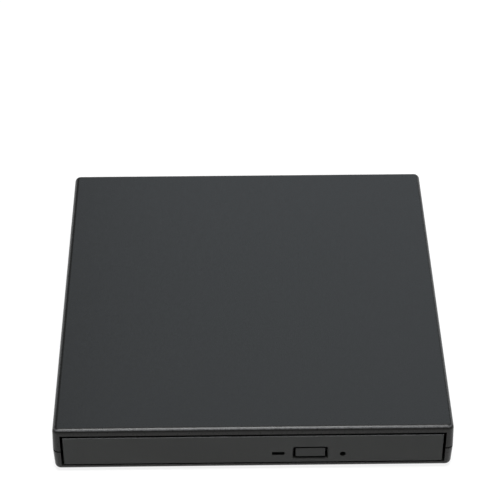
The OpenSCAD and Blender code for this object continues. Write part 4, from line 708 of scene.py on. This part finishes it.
def makeUsbInsert():
    low, high = boxMm("usb_insert")
    x, z = (low[0] + high[0]) / 2, (low[2] + high[2]) / 2
    core = addBlock(low, high)
    bevelEdges(core, 0.35, 3, runsAlongY)
    wide, tall = usbSocket["mouthWidth"] / 2, usbSocket["mouthHeight"] / 2
    mouth = addBlock(
        (x - wide, high[1] - usbSocket["mouthDepth"], z - tall), (x + wide, high[1] + 3, z + tall))
    bevelEdges(mouth, usbSocket["corner"], 1, lambda a, b: runsAlongY(a, b) and min(a.z, b.z) > z)
    cutAway(core, mouth)
    softenEdges(core, 0.12, 40, 2)
    wide, tall = usbSocket["tongueWidth"] / 2, usbSocket["tongueHeight"] / 2
    tip = high[1] - usbSocket["tongueBack"]
    tongue = addBlock(
        (x - wide, high[1] - usbSocket["mouthDepth"] - 0.2, z - tall), (x + wide, tip, z + tall))
    bevelEdges(tongue, usbSocket["tongueTip"], 3, lambda a, b: min(a.y, b.y) > tip - 0.1)
    joinPieces(core, tongue)
    return finishPiece(core, "usbCore", "case", finish["palePbt"], "pale_plastic", "usb_insert")


def makePowerSocket():
    low, high = boxMm("dc_jack")
    body = addBlock(low, high)
    softenEdges(body, 0.25)
    x, z = dcPort["x"], dcPort["z"]
    bore = addRound(x, (high[1] - powerSocket["boreDepth"], high[1] + 3), z, powerSocket["boreRadius"])
    cutAway(body, bore)
    softenEdges(body, 0.18, 60, 3)
    return finishPiece(body, "powerSocket", "case", finish["darkPbt"], "dark_plastic", "dc_jack")


def makePowerPin():
    low, high = boxMm("dc_pin")
    pin = addRound(dcPort["x"], (low[1], high[1]), dcPort["z"], powerSocket["pinRadius"], 32)
    bevelEdges(pin, powerSocket["pinTip"], 6, lambda a, b: min(a.y, b.y) > high[1] - 0.01)
    return finishPiece(pin, "powerPin", "case", finish["nickelSheet"], "machined_steel", "dc_pin")


makeUsbShell()
makeUsbInsert()
makePowerSocket()
makePowerPin()
print("sockets made")

# pieces of the disc mechanism: CAD shapes with their edges broken as moulding and stamping leave them
softEdge = {
    "discTray": ("tray", "tray", "trayPs", "tray_plastic", 0.25),
    "leftSlide": ("left_rail", "left_rail", "zincSheet", "sheet_steel", 0.12),
    "rightSlide": ("right_rail", "right_rail", "zincSheet", "sheet_steel", 0.12),
    "mechanismCover": ("traverse_cover", "tray", "paintedSheet", "sheet_steel", 0.08),
    "discTable": ("turntable", "spindle", "darkPbt", "dark_plastic", 0.15),
    "gripMat": ("turntable_mat", "spindle", "matRubber", "rubber", 0.08),
    "hubClaws": ("chuck_claws", "spindle", "paleNylon", "pale_plastic", 0.06),
    "rotorCan": ("rotor_cup", "spindle", "zincSheet", "sheet_steel", 0.12),
    "lensCarrier": ("lens_holder", "lens", "darkPbt", "dark_plastic", 0.12),
    "coilYoke": ("actuator_yoke", "sled", "paintedSheet", "sheet_steel", 0.08),
    "pickupBody": ("pickup_sled", "sled", "castMagnesium", "magnesium", 0.15),
    "drivePan": ("drive_base", "case", "zincSheet", "sheet_steel", 0.12),
    "driveCover": ("drive_lid", "case", "lidSheet", "sheet_steel", 0.12),
    "slideGuides": ("rail_guides", "case", "paleNylon", "pale_plastic", 0.12),
    "pushRod": ("ejector_rod", "ejector", "paleNylon", "pale_plastic", 0.15),
    "latchArm": ("latch_lever", "latch", "zincSheet", "sheet_steel", 0.1),
}


def plainCopy(name, node):
    # own mesh of a CAD node, with its loose triangles merged and flat faces joined
    piece = bpy.data.objects.new(name, nodes[node].data.copy())
    bpy.context.scene.collection.objects.link(piece)
    makeActive(piece)
    bpy.ops.mesh.customdata_custom_splitnormals_clear()
    pickFaces(piece, lambda c, n: True)
    bpy.ops.mesh.remove_doubles(threshold=0.002 * mm)
    bpy.ops.mesh.dissolve_limited(angle_limit=math.radians(1))
    bpy.ops.object.mode_set(mode="OBJECT")
    return piece


def softCopy(name, node, body, material, slot, width):
    piece = softenEdges(plainCopy(name, node), width, 35)
    return finishPiece(piece, name, body, finish[material], slot, node)


for name, (node, body, material, slot, width) in softEdge.items():
    softCopy(name, node, body, material, slot, width)
print("mechanism pieces made")


def makeRibbon():
    ribbon = plainCopy("flatRibbon", "flex_cable")
    finishPiece(ribbon, "flatRibbon", None, finish["ribbon"], "pale_plastic", "flex_cable")
    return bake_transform(ribbon)


def makePushSpring():
    spring = plainCopy("pushSpring", "ejector_spring")
    finishPiece(spring, "pushSpring", None, finish["groundRod"], "machined_steel", "ejector_spring")
    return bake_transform(spring)


makeRibbon()
makePushSpring()
print("ribbon and spring made")

nodeFinish = {
    "zincSheet": ["spindle_base", "feed_motor", "solenoid_frame", "traverse_frame", "stator_core"],
    "groundRod": ["main_guide_rod", "sub_guide_rod", "latch_post", "latch_pin", "spindle_shaft", "lead_screw"],
    "screwSteel": ["traverse_screws"],
    "turnedBrass": ["bearing_sleeve", "laser_diode"],
    "goldContact": ["usb_contacts"],
    "copperWire": ["stator_coils", "solenoid_coil"],
    "board": ["bridge_board", "main_board", "tray_board"],
    "chipEpoxy": ["bridge_board_parts", "main_board_parts", "eject_switch", "board_connector"],
    "ferrite": ["rotor_magnet"],
    "palePbt": ["drive_connector", "tray_board_parts"],
    "paleNylon": ["feed_nut"],
    "matRubber": ["damper_bushes"],
    "lens": ["objective_lens"],
}
for key, names in nodeFinish.items():
    for name in names:
        nodes[name].data.materials.clear()
        nodes[name].data.materials.append(finish[key])
print("node finishes set")

studio = {
    "floorRadius": 4.0, "rimHeight": 0.5, "rimFlare": 1.12,
    "floorColour": "#f4f4f4", "paperShade": "#7c7c7c", "paperGlow": 0.86,
    "worldColour": "#8e9194", "worldStrength": 0.15, "worldGloss": 0.25,
    "keySize": 0.42, "keyPower": 15, "keyPlace": (0, -0.2, 1.2), "keyColour": "#ffffff",
    "backSize": 1.3, "backPower": 8.4, "backPlace": (0.3, 1.1, 1.15), "backColour": "#eaf5ff",
}
# fitted to the edges of the case in the photograph
view = {
    "place": (-0.00826, -0.52647, 0.47846), "tilt": 50.232, "lean": -0.018, "heading": -0.88, "lens": 133.08}


def seenRay(tree):
    # 1 for what the camera sees, straight or through a reflection or clear plastic
    ray = addNode(tree, "ShaderNodeLightPath")
    straight = addNode(tree, "ShaderNodeMath", {"operation": "MAXIMUM"}, {
        0: ray.outputs["Is Camera Ray"], 1: ray.outputs["Is Glossy Ray"]})
    seen = addNode(tree, "ShaderNodeMath", {"operation": "MAXIMUM"}, {
        0: straight.outputs[0], 1: ray.outputs["Is Transmission Ray"]})
    return seen.outputs[0]


def makeFloor():
    deselectAll()
    bpy.ops.mesh.primitive_circle_add(vertices=96, radius=studio["floorRadius"], fill_type="NGON")
    floor = bpy.context.object
    pickEdges(floor, lambda a, b: True)
    bpy.ops.mesh.extrude_edges_move(TRANSFORM_OT_translate={"value": (0, 0, studio["rimHeight"])})
    bpy.ops.transform.resize(value=(studio["rimFlare"], studio["rimFlare"], 1))
    bpy.ops.object.mode_set(mode="OBJECT")
    floor.name = "studioFloor"
    material, tree, shader = newMaterial("mattPaperSweep")
    shader.inputs["Base Color"].default_value = hexColour(studio["floorColour"])
    shader.inputs["Roughness"].default_value = 0.9
    # the paper shows nearly white to the camera and in reflections, and keeps a faint shadow
    glow = addNode(tree, "ShaderNodeEmission", None, {
        "Color": hexColour("#ffffff"), "Strength": studio["paperGlow"]})
    shade = addNode(tree, "ShaderNodeBsdfDiffuse", None, {"Color": hexColour(studio["paperShade"])})
    both = addNode(tree, "ShaderNodeAddShader", None, {0: shade.outputs[0], 1: glow.outputs[0]})
    pick = addNode(tree, "ShaderNodeMixShader", None, {
        0: seenRay(tree), 1: shader.outputs[0], 2: both.outputs[0]})
    tree.links.new(pick.outputs[0], tree.nodes["Material Output"].inputs["Surface"])
    floor.data.materials.append(material)


def makeLight(name, size, power, place, colour):
    # aimed at the middle of the part's footprint
    bpy.ops.object.light_add(type="AREA", location=place)
    light = bpy.context.object
    light.name = name
    light.data.shape = "SQUARE"
    light.data.size = size
    light.data.energy = power
    light.data.color = hexColour(colour)[:3]
    x, y, z = place
    light.rotation_euler = (math.atan2(math.hypot(x, y), z), 0, math.atan2(y, x) + math.pi / 2)


def makeWorld():
    # dim room light, with the pale studio walls showing in reflections
    world = bpy.data.worlds.new("studioRoom")
    bpy.context.scene.world = world
    world.use_nodes = True
    tree = world.node_tree
    room = tree.nodes["Background"]
    room.inputs["Color"].default_value = hexColour(studio["worldColour"])
    level = addNode(tree, "ShaderNodeMapRange", None, {
        "Value": seenRay(tree), "To Min": studio["worldStrength"], "To Max": studio["worldGloss"]})
    tree.links.new(level.outputs["Result"], room.inputs["Strength"])


def makeCamera():
    bpy.ops.object.camera_add(
        location=view["place"],
        rotation=[math.radians(view[turn]) for turn in ("tilt", "lean", "heading")])
    camera = bpy.context.object
    camera.data.lens = view["lens"]
    camera.data.sensor_width = 36
    camera.data.clip_start = 0.01
    bpy.context.scene.camera = camera


makeFloor()
for lamp in ("key", "back"):
    makeLight(lamp + "Softbox", *(studio[lamp + value] for value in ("Size", "Power", "Place", "Colour")))
makeWorld()
makeCamera()
bpy.context.scene.view_settings.view_transform = "Standard"
print("studio ready")
